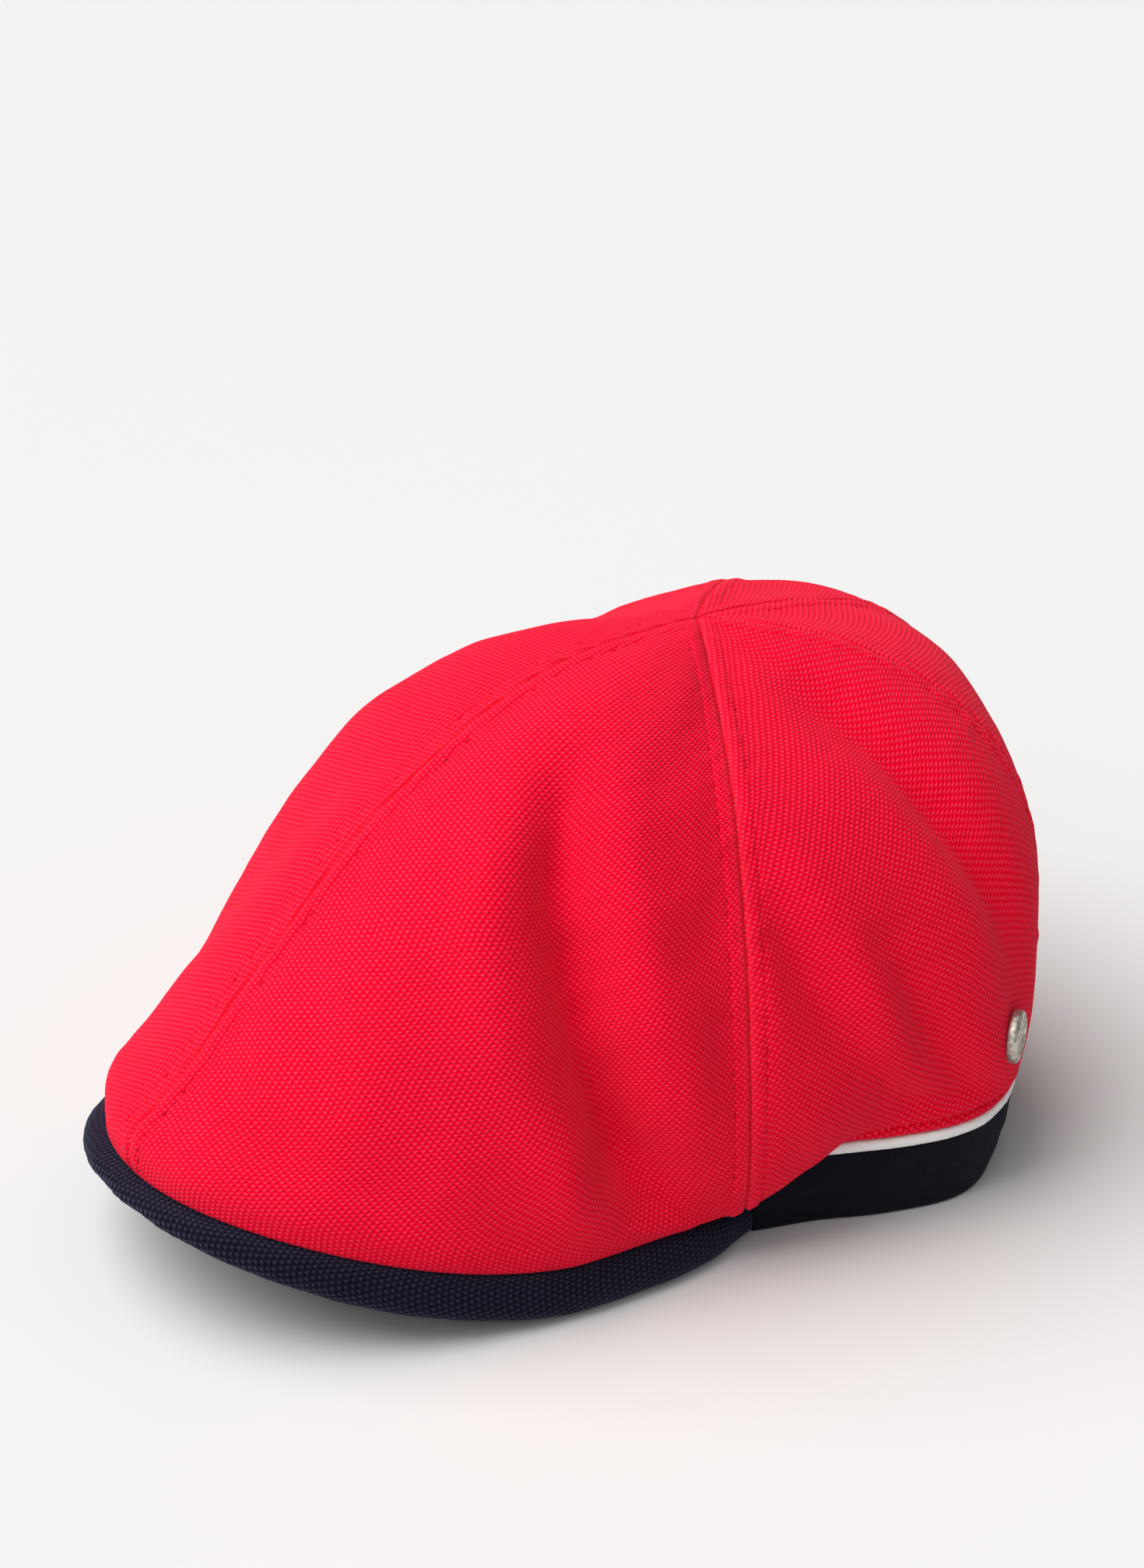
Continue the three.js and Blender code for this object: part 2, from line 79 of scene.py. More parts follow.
# Sizes of the band and the piping
BAND_RADIUS = 90.0
BAND_HEIGHT = 20.5
BAND_WALL = 3.2
BAND_TUCK = 8.0
PIPING_HEIGHT = 3.0
PIPING_WALL = 3.0
PIPING_PROUD = 0.8
SEAT_GAP = 0.3
HEM_BLEND = (53.0, 68.0)
BACK_HEM = BAND_HEIGHT + PIPING_HEIGHT + 2 * SEAT_GAP

# The hem hangs lower by the ends of the bill: where, how wide, how far down and how far out,
# and how much thinner the bill is pressed there
HEM_DROP_ANGLE = 63.5
HEM_DROP_WIDTH = 7.5
HEM_DROP = 4.6
HEM_DROP_OUT = 2.4
BILL_PRESSED = 2.4

# Place of the tip's axis in the frame
bill_low, bill_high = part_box("bill")
TIP_X = (bill_low.x + bill_high.x) / 2 / MM
TIP_Y = bill_low.y / MM + BILL_FRONT

# Plan of the band: angle, reach as a share of BAND_RADIUS, tuck as a share of BAND_TUCK
BAND_PLAN = (
    (50, 0.90, 0.1),
    (66, 0.87, 0.1),
    (80, 0.875, 0.1),
    (92, 0.945, 0.15),
    (107, 1.04, 0.25),
    (121, 1.03, 0.6),
    (136, 0.945, 0.95),
    (150, 0.855, 1),
    (165, 0.8, 1),
    (180, 0.785, 1),
)

# Sections of the crown: angle, then out and up of the crown, shoulder, flank, belly and fold.
# Out is a share of the hem's reach, up is a share of the height from the hem to the tip.
CROWN_SECTIONS = (
    (0, 0.29, 0.965, 0.56, 0.745, 0.77, 0.44, 0.92, 0.2, 0.995, 0.1),
    (32, 0.36, 0.968, 0.64, 0.8, 0.83, 0.53, 0.95, 0.25, 1.005, 0.1),
    (50, 0.39, 0.945, 0.71, 0.79, 0.93, 0.54, 1.04, 0.26, 1.05, 0.08),
    (63, 0.4, 0.925, 0.755, 0.785, 1, 0.55, 1.13, 0.24, 1.1, 0),
    (75, 0.41, 0.917, 0.79, 0.765, 1.035, 0.535, 1.15, 0.24, 1.1, 0.01),
    (84, 0.41, 0.915, 0.785, 0.755, 1.02, 0.52, 1.12, 0.25, 1.05, 0.06),
    (98, 0.39, 0.915, 0.75, 0.745, 0.955, 0.5, 1.035, 0.25, 1.02, 0.08),
    (135, 0.46, 0.965, 0.82, 0.82, 1.02, 0.6, 1.07, 0.3, 1.04, 0.08),
    (157, 0.52, 0.96, 0.945, 0.84, 1.11, 0.62, 1.17, 0.31, 1.08, 0.08),
    (180, 0.55, 0.96, 0.95, 0.85, 1.14, 0.62, 1.19, 0.31, 1.09, 0.08),
)
STATIONS = 5

# Folds of the cloth: angle and down of both ends, width as a share of FOLD_WIDTH, and depth as
# a share of FOLD_DEPTH, where a negative depth is a ridge
FOLDS = (
    (28, 0.26, 39, 0.5, 0.72, 0.85),
    (37, 0.46, 52, 0.84, 0.68, 1.2),
    (38, 0.28, 60, 0.74, 0.7, -0.4),
    (4, 0.62, 28, 0.82, 0.55, 0.35),
    (105, 0.18, 117, 0.64, 0.6, 0.75),
    (94, 0.54, 113, 0.86, 0.6, -0.3),
    (90, 0.52, 108, 0.88, 0.5, 0.4),
    (-12, 0.3, -20, 0.64, 0.9, 0.32),
    (-43, 0.27, -28, 0.65, 1.35, -0.72),
    (-36, 0.46, -47, 0.84, 0.9, 0.55),
    (-118, 0.06, -132, 0.3, 1.8, 0.45),
    (-96, 0.4, -110, 0.86, 0.8, 0.45),
    (158, 0.4, 166, 0.84, 0.8, 0.35),
)

# Small creases that the cloth shows between the folds, as in the table above
CREASES = (
    (28, 0.28, 38, 0.52, 0.42, 0.42),
    (36, 0.46, 51, 0.82, 0.42, 0.65),
    (20, 0.3, 29, 0.54, 0.55, -0.22),
    (29, 0.5, 43, 0.84, 0.55, -0.24),
    (105, 0.2, 117, 0.62, 0.35, 0.22),
    (65, 0.4, 92, 0.8, 0.5, 0.55),
    (74, 0.36, 88, 0.62, 0.45, -0.16),
    (66, 0.62, 82, 0.86, 0.45, -0.14),
    (88, 0.5, 106, 0.86, 0.32, 0.2),
    (8, 0.5, 16, 0.62, 0.45, 0.08),
    (38, 0.62, 40, 0.8, 0.35, -0.12),
    (52, 0.78, 60, 0.93, 0.35, 0.14),
    (28, 0.84, 44, 0.93, 0.4, 0.1),
    (72, 0.7, 88, 0.82, 0.35, -0.12),
    (88, 0.78, 108, 0.87, 0.3, 0.16),
    (98, 0.9, 116, 0.9, 0.25, -0.12),
    (112, 0.6, 122, 0.88, 0.35, 0.14),
    (70, 0.4, 74, 0.66, 0.5, 0.08),
    (86, 0.3, 92, 0.5, 0.5, 0.07),
    (-70, 0.6, -84, 0.86, 0.45, 0.14),
    (-118, 0.62, -124, 0.9, 0.45, 0.16),
    (-150, 0.5, -146, 0.84, 0.5, 0.12),
    (142, 0.5, 146, 0.86, 0.45, 0.12),
    (170, 0.6, 174, 0.88, 0.5, 0.1),
    (-168, 0.5, -164, 0.86, 0.5, 0.12),
)

# Where the folds fade out: shares of the way down from the tip, and of each fold's length
TIP_CALM = (0, 0.12)
HEM_CALM = (0.84, 0.97)
FOLD_ENDS = (0.12, 0.88)
FOLD_POINTS = 13
FOLD_SPAN = 3

# Sewing: two rows of stitches beside each seam
STITCH_OFFSET = 4.4
STITCH_PITCH = 3.6
STITCH_LENGTH = 2.5
STITCH_RADIUS = 0.18
STITCH_SINK = 0.22
STITCH_WIDENED = 1.25
STITCH_ARCH = 0.25
STITCH_BOW = 0.45
SEAM_ROWS = (0.035, 0.985)
SEAM_POINTS = 150
LEAST_SPREAD = 0.008

# Relief of the sewn cloth beside a seam: depths, widths and the places where it fades
GROOVE_DEPTH = 0.9
GROOVE_WIDTH = 0.38
LIP_RISE = 0.42
LIP_START = (0.1, 1.2)
LIP_END = (3.2, 6.0)
PULL_DEPTH = 0.42
PULL_WIDTH = 0.5
PULL_LEVEL = 0.65
PULL_SWING = 0.35
PUCKER_DEPTH = 0.16
PUCKER_WAVE = 7
PUCKER_PLACE = 3
PUCKER_WIDTH = 5
SOFT_DEPTH = 0.28
SOFT_WAVE = 34
SOFT_START = (2, 12)
FINE_DEPTH = 0.05
FINE_WAVE = 9
TIP_ROOM = (2, 12)

# Relief of the cloth above its hem, with the angles between which it is tucked in
TUCK_START = (76, 84)
TUCK_END = (112, 124)
CREASE_DEPTH = 1.3
CREASE_PLACE = 3.2
CREASE_WIDTH = 0.8
ROLL_DEPTH = 1.2
ROLL_HEIGHT = 1.8
CALM_HEM_HEIGHT = 4

# Random waves: lengths as shares of the wanted size, and the place of pieces without a seam
WAVE_LENGTHS = (0.75, 1.5)
FAR_FROM_SEAM = 9

# The snap button stands upright in the cloth: turn in degrees, lengths in millimetres
SNAP_TURN = 8.0
SNAP_SUNK = 1.2
SNAP_RAISED = 2.0
SNAP_RISE = 3.2
SNAP_SIDES = 96

# Distance from the snap button's axis as a share of its radius, and height above its foot
SNAP_PROFILE = (
    (0, -1.0), (0.3, -1.0), (0.3, 0.25), (0.9, 0.25), (0.97, 0.4), (1, 0.75), (1, 2.0), (0.985, 2.5),
    (0.95, 2.85), (0.9, 3.08), (0.85, 3.2), (0.8, 3.18), (0.765, 3.02), (0.74, 2.78), (0.7, 2.68),
    (0.6, 2.7), (0.55, 2.78), (0.5, 2.82), (0.45, 2.78), (0.42, 2.66), (0.38, 2.62), (0.34, 2.66),
    (0.3, 2.74), (0.15, 2.8), (0, 2.82),
)


def smooth_step(low, high, value):
    share = np.clip((value - low) / (high - low), 0, 1)
    return share * share * (3 - 2 * share)


def mix(first, second, share):
    return first + (second - first) * share


def bell(distance, width):
    return np.exp(-((distance / width) ** 2))


def placed(angle, out, up):
    """Points at plan angles, distances from the tip's axis and heights."""
    turn = np.radians(angle)
    return np.stack([out * np.sin(turn), -out * np.cos(turn), up + 0 * turn], axis=-1)


def table_curve(rows, column, angles):
    """Smooth curve through a column of a table, the same on both sides of the cap."""
    at = np.array([row[0] for row in rows], float)
    value = np.array([row[column] for row in rows], float)
    if at[0] == 0:
        at = np.append(-at[1], at)
        value = np.append(value[1], value)
    at = np.append(at, 360 - at[-2])
    value = np.append(value, value[-2])
    step = np.diff(at)
    slope = np.diff(value) / step
    middle = (slope[:-1] * step[1:] + slope[1:] * step[:-1]) / (step[1:] + step[:-1])
    tangent = np.concatenate([slope[:1], middle, slope[-1:]])
    wanted = np.abs(angles)
    index = np.clip(np.searchsorted(at, wanted, side="right") - 1, 0, len(at) - 2)
    s = (wanted - at[index]) / step[index]
    return (
        (2 * s**3 - 3 * s**2 + 1) * value[index]
        + (s**3 - 2 * s**2 + s) * step[index] * tangent[index]
        + (3 * s**2 - 2 * s**3) * value[index + 1]
        + (s**3 - s**2) * step[index] * tangent[index + 1]
    )


def oval_reach(angle, half_width, widest_ahead, front, tail, power):
    """Distance from the tip's axis to a closed oval, whose widest place lies ahead of the axis."""
    side = np.abs(np.sin(np.radians(angle)))
    ahead = np.cos(np.radians(angle))
    near = np.zeros_like(side)
    far = near + front + widest_ahead + half_width + tail
    for _ in range(45):
        middle = (near + far) / 2
        along = middle * ahead - widest_ahead
        length = np.where(along > 0, front, tail)
        inside = (middle * side / half_width) ** power + (np.abs(along) / length) ** power < 1
        near = np.where(inside, middle, near)
        far = np.where(inside, far, middle)
    return (near + far) / 2


def bill_reach(angle):
    front = BILL_FRONT - BILL_WIDEST_AHEAD
    return oval_reach(angle, BILL_HALF_WIDTH, BILL_WIDEST_AHEAD, front, BILL_TAIL_LENGTH, BILL_POWER)


def opening_reach(angle):
    corner = float(bill_reach(np.array([CORNER_ANGLE]))[0])
    half_width = (corner - BILL_HORN_WIDTH) * math.sin(math.radians(CORNER_ANGLE))
    ahead = corner * math.cos(math.radians(CORNER_ANGLE))
    return oval_reach(angle, half_width, ahead, BILL_OPENING_FRONT - ahead, BILL_TAIL_LENGTH, 2)


def arch_share(angle):
    side = np.abs((bill_reach(angle) - BILL_LIP) * np.sin(np.radians(angle)))
    share = 1 - np.minimum(side / (BILL_HALF_WIDTH - BILL_LIP), 1) ** ARCH_POWER
    return np.where(np.abs(angle) > WIDEST_ANGLE, 0, share)


def edge_thickness(angle):
    return mix(BILL_EDGE_SIDE, BILL_EDGE_FRONT, arch_share(angle) ** EDGE_POWER)


def band_reach(angle):
    corner = bill_reach(np.array([CORNER_ANGLE]))[0] - CORNER_INSET
    missed = corner - BAND_RADIUS * table_curve(BAND_PLAN, 1, np.array([CORNER_ANGLE]))[0]
    share = 1 - smooth_step(CORNER_ANGLE, FOLLOW_START, np.abs(angle))
    return BAND_RADIUS * table_curve(BAND_PLAN, 1, angle) + missed * share


def hem_drop(angle):
    """The cloth hangs a little lower and farther out where the bill meets the band."""
    return bell(np.abs(angle) - HEM_DROP_ANGLE, HEM_DROP_WIDTH)


def hem_reach(angle):
    share = smooth_step(*HEM_BLEND, np.abs(angle))
    on_piping = band_reach(np.maximum(np.abs(angle), BAND_PLAN[0][0]))
    return mix(bill_reach(angle) - BILL_LIP, on_piping, share) + HEM_DROP_OUT * hem_drop(angle)


def hem_height(angle):
    share = smooth_step(*HEM_BLEND, np.abs(angle))
    on_bill = BILL_ARCH * arch_share(angle) + edge_thickness(angle) + SEAT_GAP
    return mix(on_bill, BACK_HEM, share) - HEM_DROP * hem_drop(angle)


# The curves that depend on the plan angle alone are measured once.
ANGLE_STEPS = np.linspace(-184, 184, 7361)
REACH_CURVE = hem_reach(ANGLE_STEPS)
HEIGHT_CURVE = hem_height(ANGLE_STEPS)
STATION_CURVES = [
    table_curve(CROWN_SECTIONS, column + 1, ANGLE_STEPS) for column in range(2 * STATIONS)
]


def crown_base(angle, down):
    """Points of the crown's outer face before its folds. Down is 0 at the tip and 1 at the hem."""
    angle, down = np.broadcast_arrays(np.asarray(angle, float), np.asarray(down, float))
    reach = np.interp(angle, ANGLE_STEPS, REACH_CURVE)
    low = np.interp(angle, ANGLE_STEPS, HEIGHT_CURVE)
    shares = [np.interp(angle, ANGLE_STEPS, curve) for curve in STATION_CURVES]
    out = [0 * reach] + [reach * share for share in shares[0::2]] + [reach]
    heights = [low + (CROWN_HEIGHT - low) * share for share in shares[1::2]]
    up = [0 * reach + CROWN_HEIGHT] + heights + [low]
    out = np.stack([-out[1]] + out + [2 * out[-1] - out[-2]])
    up = np.stack([up[1]] + up + [2 * up[-1] - up[-2]])
    place = np.clip(down, 0, 1) * (STATIONS + 1)
    index = np.minimum(place.astype(int), STATIONS)
    s = place - index

    def blend(rows):
        a, b, c, d = (np.take_along_axis(rows, (index + step)[None], axis=0)[0] for step in range(4))
        return 0.5 * (
            2 * b + (c - a) * s + (2 * a - 5 * b + 4 * c - d) * s**2 + (3 * b - a - 3 * c + d) * s**3
        )

    return placed(angle, blend(out), blend(up))


def unit(vectors):
    return vectors / np.maximum(np.linalg.norm(vectors, axis=-1, keepdims=True), 1e-12)


def outward(face, angle, down):
    """Outward directions of a face given as a function of angle and down."""
    turn = 0.5
    drop = 0.004
    angle, down = np.broadcast_arrays(np.asarray(angle, float), np.asarray(down, float))
    near_tip = np.maximum(down, 2 * drop)
    across = face(angle + turn, near_tip) - face(angle - turn, near_tip)
    along = face(angle, np.minimum(near_tip + drop, 1)) - face(angle, near_tip - drop)
    return unit(np.cross(along, across))


def measured_folds(rows):
    lines = []
    share = np.linspace(0, 1, FOLD_POINTS)
    for from_angle, from_down, to_angle, to_down, width, depth in rows:
        points = crown_base(mix(from_angle, to_angle, share), mix(from_down, to_down, share))
        lines.append((points, width * FOLD_WIDTH, depth * FOLD_DEPTH))
    return lines


FOLD_LINES = measured_folds(FOLDS + CREASES)


def fold_depth(points):
    """How far the folds press the cloth in at each point."""
    flat = points.reshape(-1, 3)
    total = np.zeros(len(flat))
    for line, width, depth in FOLD_LINES:
        span = FOLD_SPAN * width
        near = np.flatnonzero(((flat > line.min(0) - span) & (flat < line.max(0) + span)).all(1))
        if not len(near):
            continue
        start = line[:-1]
        along = np.diff(line, axis=0)
        offset = flat[near, None, :] - start
        part = np.clip((offset * along).sum(-1) / (along**2).sum(-1), 0, 1)
        distance = np.linalg.norm(offset - part[..., None] * along, axis=-1)
        best = distance.argmin(1)
        rows = np.arange(len(near))
        share = (best + part[rows, best]) / len(along)
        fade = np.sin(np.pi * mix(*FOLD_ENDS, share))
        total[near] += depth * fade * bell(distance[rows, best], width)
    return total.reshape(points.shape[:-1])


def crown_face(angle, down):
    angle, down = np.broadcast_arrays(np.asarray(angle, float), np.asarray(down, float))
    point = crown_base(angle, down)
    calm = (1 - smooth_step(*HEM_CALM, down)) * smooth_step(*TIP_CALM, down)
    pressed = fold_depth(point) * calm
    return point - outward(crown_base, angle, down) * pressed[..., None]


def ripple(x, y, size, seed, waves=7):
    """Even random ripples between about -1 and 1, with the given size of a wave."""
    source = np.random.default_rng(seed)
    total = 0 * x
    for _ in range(waves):
        heading = source.uniform(0, 2 * np.pi)
        length = size * source.uniform(*WAVE_LENGTHS)
        phase = source.uniform(0, 2 * np.pi)
        total = total + np.sin((x * np.cos(heading) + y * np.sin(heading)) * 2 * np.pi / length + phase)
    return total / math.sqrt(waves)


def lumps(x, y, rows):
    """Sum of ripples, from rows of depth, size of a wave and seed."""
    return sum(depth * ripple(x, y, size, seed) for depth, size, seed in rows)


# Meshes

def new_object(name, points, faces, weave):
    """A smooth mesh object from points in millimetres round the tip's axis."""
    mesh = bpy.data.meshes.new(name)
    moved = (np.asarray(points).reshape(-1, 3) + [TIP_X, TIP_Y, 0]) * MM
    mesh.from_pydata(moved.tolist(), [], faces)
    attribute = mesh.attributes.new("weave", "FLOAT_VECTOR", "POINT")
    attribute.data.foreach_set("vector", np.asarray(weave, np.float32).reshape(-1))
    mesh.polygons.foreach_set("use_smooth", [True] * len(mesh.polygons))
    mesh.update()
    item = bpy.data.objects.new(name, mesh)
    bpy.context.scene.collection.objects.link(item)
    return item


def grid_faces(rows, columns, offset=0, flipped=False):
    row, column = np.meshgrid(np.arange(rows - 1), np.arange(columns - 1), indexing="ij")
    corner = (row * columns + column).reshape(-1) + offset
    quads = np.stack([corner, corner + columns, corner + columns + 1, corner + 1], axis=1)
    return quads[:, ::-1] if flipped else quads


def wall_faces(rows, columns):
    """Faces of a closed wall whose outer grid of points is followed by its inner grid."""
    inner = rows * columns
    faces = [grid_faces(rows, columns), grid_faces(rows, columns, inner, True)]
    row = np.arange(rows - 1) * columns
    faces.append(np.stack([row, row + inner, row + columns + inner, row + columns], axis=1))
    last = row + columns - 1
    faces.append(np.stack([last, last + columns, last + columns + inner, last + inner], axis=1))
    column = np.arange(columns - 1)
    faces.append(np.stack([column, column + 1, column + 1 + inner, column + inner], axis=1))
    end = column + (rows - 1) * columns
    faces.append(np.stack([end, end + inner, end + 1 + inner, end + 1], axis=1))
    return np.concatenate(faces)


def swept_object(name, sections, weave):
    """Closed body through closed sections of equal size, with flat ends."""
    count, size = sections.shape[:2]
    row, index = np.meshgrid(np.arange(count - 1), np.arange(size), indexing="ij")
    a = (row * size + index).reshape(-1)
    b = (row * size + (index + 1) % size).reshape(-1)
    faces = np.stack([a, a + size, b + size, b], axis=1).tolist()
    faces.append(list(range(size)))
    faces.append(list(range((count - 1) * size, count * size))[::-1])
    return new_object(name, sections, faces, weave)


# Crown panels

# Places of a panel's points beside its seams and above its hem, close together on the relief
PANEL_ROWS = 150
EDGE_COLUMNS = np.array([0, 0.25, 0.55, 1.0, 1.6, 2.4, 3.2, 3.8, 4.15, 4.4, 4.65, 5.0, 5.7, 6.8])
EDGE_ROOM = 9.0
EVEN_DOWN = 0.95
LAST_ROWS = np.array([0.955, 0.96, 0.965, 0.97, 0.975, 0.98, 0.985, 0.989, 0.9925, 0.9955, 0.998, 1])
SAMPLES = 97
TIP_SEARCH = np.linspace(0, 0.05, 501)
TIP_CLOSED = 0.4


def tip_start():
    """The way down at which the panels start, well inside the opening of the CAD tip."""
    reach = np.hypot(*crown_base(0 * TIP_SEARCH, TIP_SEARCH)[:, :2].T)
    return float(TIP_SEARCH[np.argmax(reach >= TIP_OPENING * TIP_CLOSED)])


TIP_DOWN = tip_start()


def panel_grid(from_seam, to_seam, columns):
    """Angles and downs of a panel's points, dense along its seams and its hem."""
    down = np.concatenate([np.linspace(TIP_DOWN, EVEN_DOWN, PANEL_ROWS), LAST_ROWS])
    sample = np.linspace(from_seam, to_seam, SAMPLES)
    face = crown_face(sample[None, :], down[:, None])
    steps = np.linalg.norm(np.diff(face, axis=1), axis=-1)
    length = np.concatenate([np.zeros((len(down), 1)), np.cumsum(steps, axis=1)], axis=1)
    width = length[:, -1:]
    squeeze = np.minimum(1, width / 2 / EDGE_ROOM)
    left = EDGE_COLUMNS[None, :] * squeeze
    share = np.linspace(0, 1, columns + 2)[None, 1:-1]
    middle = mix(left[:, -1:], width - left[:, -1:], share)
    place = np.concatenate([left, middle, (width - left)[:, ::-1]], axis=1)
    angle = np.stack([np.interp(place[row], length[row], sample) for row in range(len(down))])
    return angle, np.broadcast_to(down[:, None], angle.shape), place, width


def panel_relief(place, width, along, angle, seed):
    """Height of the sewn cloth over the crown's face. A seam is a groove between raised lips."""
    to_hem = along[-1:] - along
    to_seam = np.minimum(place, width - place)
    near_tip = smooth_step(*TIP_ROOM, width)
    groove = -GROOVE_DEPTH * bell(to_seam, GROOVE_WIDTH)
    lip = LIP_RISE * smooth_step(*LIP_START, to_seam) * (1 - smooth_step(*LIP_END, to_seam)) * near_tip
    # Each lip is held down by a row of stitches.
    holes = PULL_LEVEL + PULL_SWING * np.cos(2 * np.pi * along / STITCH_PITCH)
    stitched = -PULL_DEPTH * bell(to_seam - STITCH_OFFSET, PULL_WIDTH) * holes * near_tip
    pucker = PUCKER_DEPTH * ripple(place, along, PUCKER_WAVE, seed)
    pucker = pucker * bell(to_seam - PUCKER_PLACE, PUCKER_WIDTH) * near_tip
    soft = SOFT_DEPTH * ripple(place, along, SOFT_WAVE, seed + 1) * smooth_step(*SOFT_START, to_seam)
    fine = FINE_DEPTH * ripple(place, along, FINE_WAVE, seed + 2)
    # Over the left piping the cloth is tucked in, and a narrow strip shows under the crease.
    tucked = smooth_step(*TUCK_START, angle) * (1 - smooth_step(*TUCK_END, angle))
    crease = -CREASE_DEPTH * tucked * bell(to_hem - CREASE_PLACE, CREASE_WIDTH)
    roll = -ROLL_DEPTH * (1 - np.sqrt(1 - (1 - np.clip(to_hem / ROLL_HEIGHT, 0, 1)) ** 2))
    calm_hem = smooth_step(0, CALM_HEM_HEIGHT, to_hem)
    relief = groove + lip + stitched + pucker + soft + fine
    return relief * calm_hem + groove * (1 - calm_hem) + crease + roll


def panel_object(name, from_seam, to_seam, columns, seed):
    """A panel as a closed shell of cloth, whose inner face stops at the hem's height."""
    angle, down, place, width = panel_grid(from_seam, to_seam, columns)
    face = crown_face(angle, down)
    direction = outward(crown_face, angle, down)
    steps = np.linalg.norm(np.diff(face, axis=0), axis=-1)
    along = np.concatenate([np.zeros((1, angle.shape[1])), np.cumsum(steps, axis=0)])
    outer = face + direction * panel_relief(place, width, along, angle, seed)[..., None]
    inner = face - direction * CLOTH_WALL
    inner_angle = np.degrees(np.arctan2(inner[..., 0], -inner[..., 1]))
    inner[..., 2] = np.maximum(inner[..., 2], np.interp(inner_angle, ANGLE_STEPS, HEIGHT_CURVE))
    points = np.concatenate([outer.reshape(-1, 3), inner.reshape(-1, 3)])
    weave = np.stack([place - width / 2, along, np.minimum(place, width - place)], axis=-1)
    faces = wall_faces(*angle.shape).tolist()
    return new_object(name, points, faces, np.concatenate([weave.reshape(-1, 3)] * 2))


# Stitches along the seams

def thread_template(sides=6, rings=5):
    share = np.linspace(0, 1, rings + 2)[1:-1]
    turn = np.linspace(0, 2 * np.pi, sides, endpoint=False)
    points = [[-0.5, 0, 0]]
    for step in share:
        radius = math.sin(math.pi * step) ** 0.5
        points += [[step - 0.5, radius * math.cos(t), radius * math.sin(t)] for t in turn]
    points.append([0.5, 0, 0])
    faces = []
    for side in range(sides):
        after = (side + 1) % sides
        faces.append([0, 1 + after, 1 + side])
        for ring in range(rings - 1):
            low = 1 + ring * sides
            faces.append([low + side, low + after, low + sides + after, low + sides + side])
        low = 1 + (rings - 1) * sides
        faces.append([low + side, low + after, len(points) - 1])
    return np.array(points), faces


def stitches_object(name, lines):
    """One object of separate stitches, from lines of (points, outward directions)."""
    template, template_faces = thread_template()
    along_thread = template[:, :1]
    arch = STITCH_ARCH - (2 * along_thread) ** 2 * STITCH_BOW
    wide = template[:, 1:2] * STITCH_RADIUS * STITCH_WIDENED
    tall = template[:, 2:] * STITCH_RADIUS + arch * STITCH_RADIUS * 2 - STITCH_SINK
    points = []
    faces = []
    for line, direction in lines:
        steps = np.linalg.norm(np.diff(line, axis=0), axis=-1)
        along = np.concatenate([[0], np.cumsum(steps)])
        count = int(along[-1] / STITCH_PITCH)
        centres = (np.arange(count) + 0.5) * STITCH_PITCH
        middle = on_line(centres, along, line)
        ahead = unit(on_line(centres + 0.5, along, line) - on_line(centres - 0.5, along, line))
        up = unit(on_line(centres, along, direction))
        side = np.cross(up, ahead)
        for at in range(count):
            body = middle[at] + ahead[at] * along_thread * STITCH_LENGTH + side[at] * wide + up[at] * tall
            offset = len(points) * len(template)
            points.append(body)
            faces += [[corner + offset for corner in face] for face in template_faces]
    everything = np.concatenate(points)
    return new_object(name, everything, faces, 0 * everything)


def on_line(wanted, along, values):
    """Vectors given along a line, read at the wanted lengths."""
    return np.stack([np.interp(wanted, along, values[:, axis]) for axis in range(3)], axis=1)


def seam_line(seam, side):
    """Line of stitches on the crown's face, beside a seam."""
    down = np.linspace(*SEAM_ROWS, SEAM_POINTS)
    centre = crown_face(np.full(SEAM_POINTS, seam), down)
    reach = np.hypot(centre[:, 0], centre[:, 1])
    per_degree = np.linalg.norm(crown_face(seam + side, down) - centre, axis=-1)
    angle = seam + side * STITCH_OFFSET / np.maximum(per_degree, LEAST_SPREAD * reach)
    return crown_face(angle, down), outward(crown_face, angle, down)


# Materials

# Places of the share and of both colours among the sockets of a mix node
MIX_SOCKETS = (0, 6, 7)

# The knit of the cloth: how far its rows wander, and the waves that add up to its loops
WANDER = 0.9
WANDER_ACROSS = 0.09
WANDER_ALONG = 0.11
WANDER_APART = (41.0, 17.0, 0)
LOOP_LEVEL = 0.5
LOOP_WAVES = 0.2
LOOP_SLANT = 0.16
SLANT_SHIFT = 0.9
RED_PITCH = (1.33, 1.41)
NAVY_PITCH = (1.57, 1.57)
NAVY_TURN = 10

# Colours, dark to light, and sheens. In the knits the dark colour is painted shade in the pits, and the
# light colour is a painted highlight on the knots
RED = ((0.7, 0.0, 0.014), (0.93, 0.002, 0.03), (0.98, 0.05, 0.115))
RED_SHEEN = (1.0, 0.3, 0.4)
NAVY = ((0.002, 0.0015, 0.005), (0.008, 0.007, 0.017), (0.034, 0.03, 0.058))
NAVY_SHEEN = (0.45, 0.45, 0.7)
FELT = ((0.0012, 0.0012, 0.004), (0.006, 0.006, 0.016))
FELT_SHEEN = (0.3, 0.32, 0.5)
SATIN = ((0.8, 0.79, 0.79), (0.87, 0.86, 0.84), (0.96, 0.955, 0.94))
SATIN_PITCH = 0.42
THREAD = ((0.34, 0.0, 0.01), (0.6, 0.006, 0.025))
PEWTER = ((0.2, 0.16, 0.13), (0.62, 0.6, 0.53))
BRASS = ((0.08, 0.05, 0.04), (0.25, 0.18, 0.13))


def feed(tree, socket, value):
    """Link a value to a socket, or set the socket where the value is a constant."""
    if isinstance(value, bpy.types.NodeSocket):
        tree.links.new(value, socket)
    else:
        socket.default_value = value


def node(tree, kind, **inputs):
    made = tree.nodes.new(kind)
    for name, value in inputs.items():
        key = name.replace("_", " ")
        if hasattr(made, name) and key not in made.inputs:
            setattr(made, name, value)
        else:
            feed(tree, made.inputs[key], value)
    return made


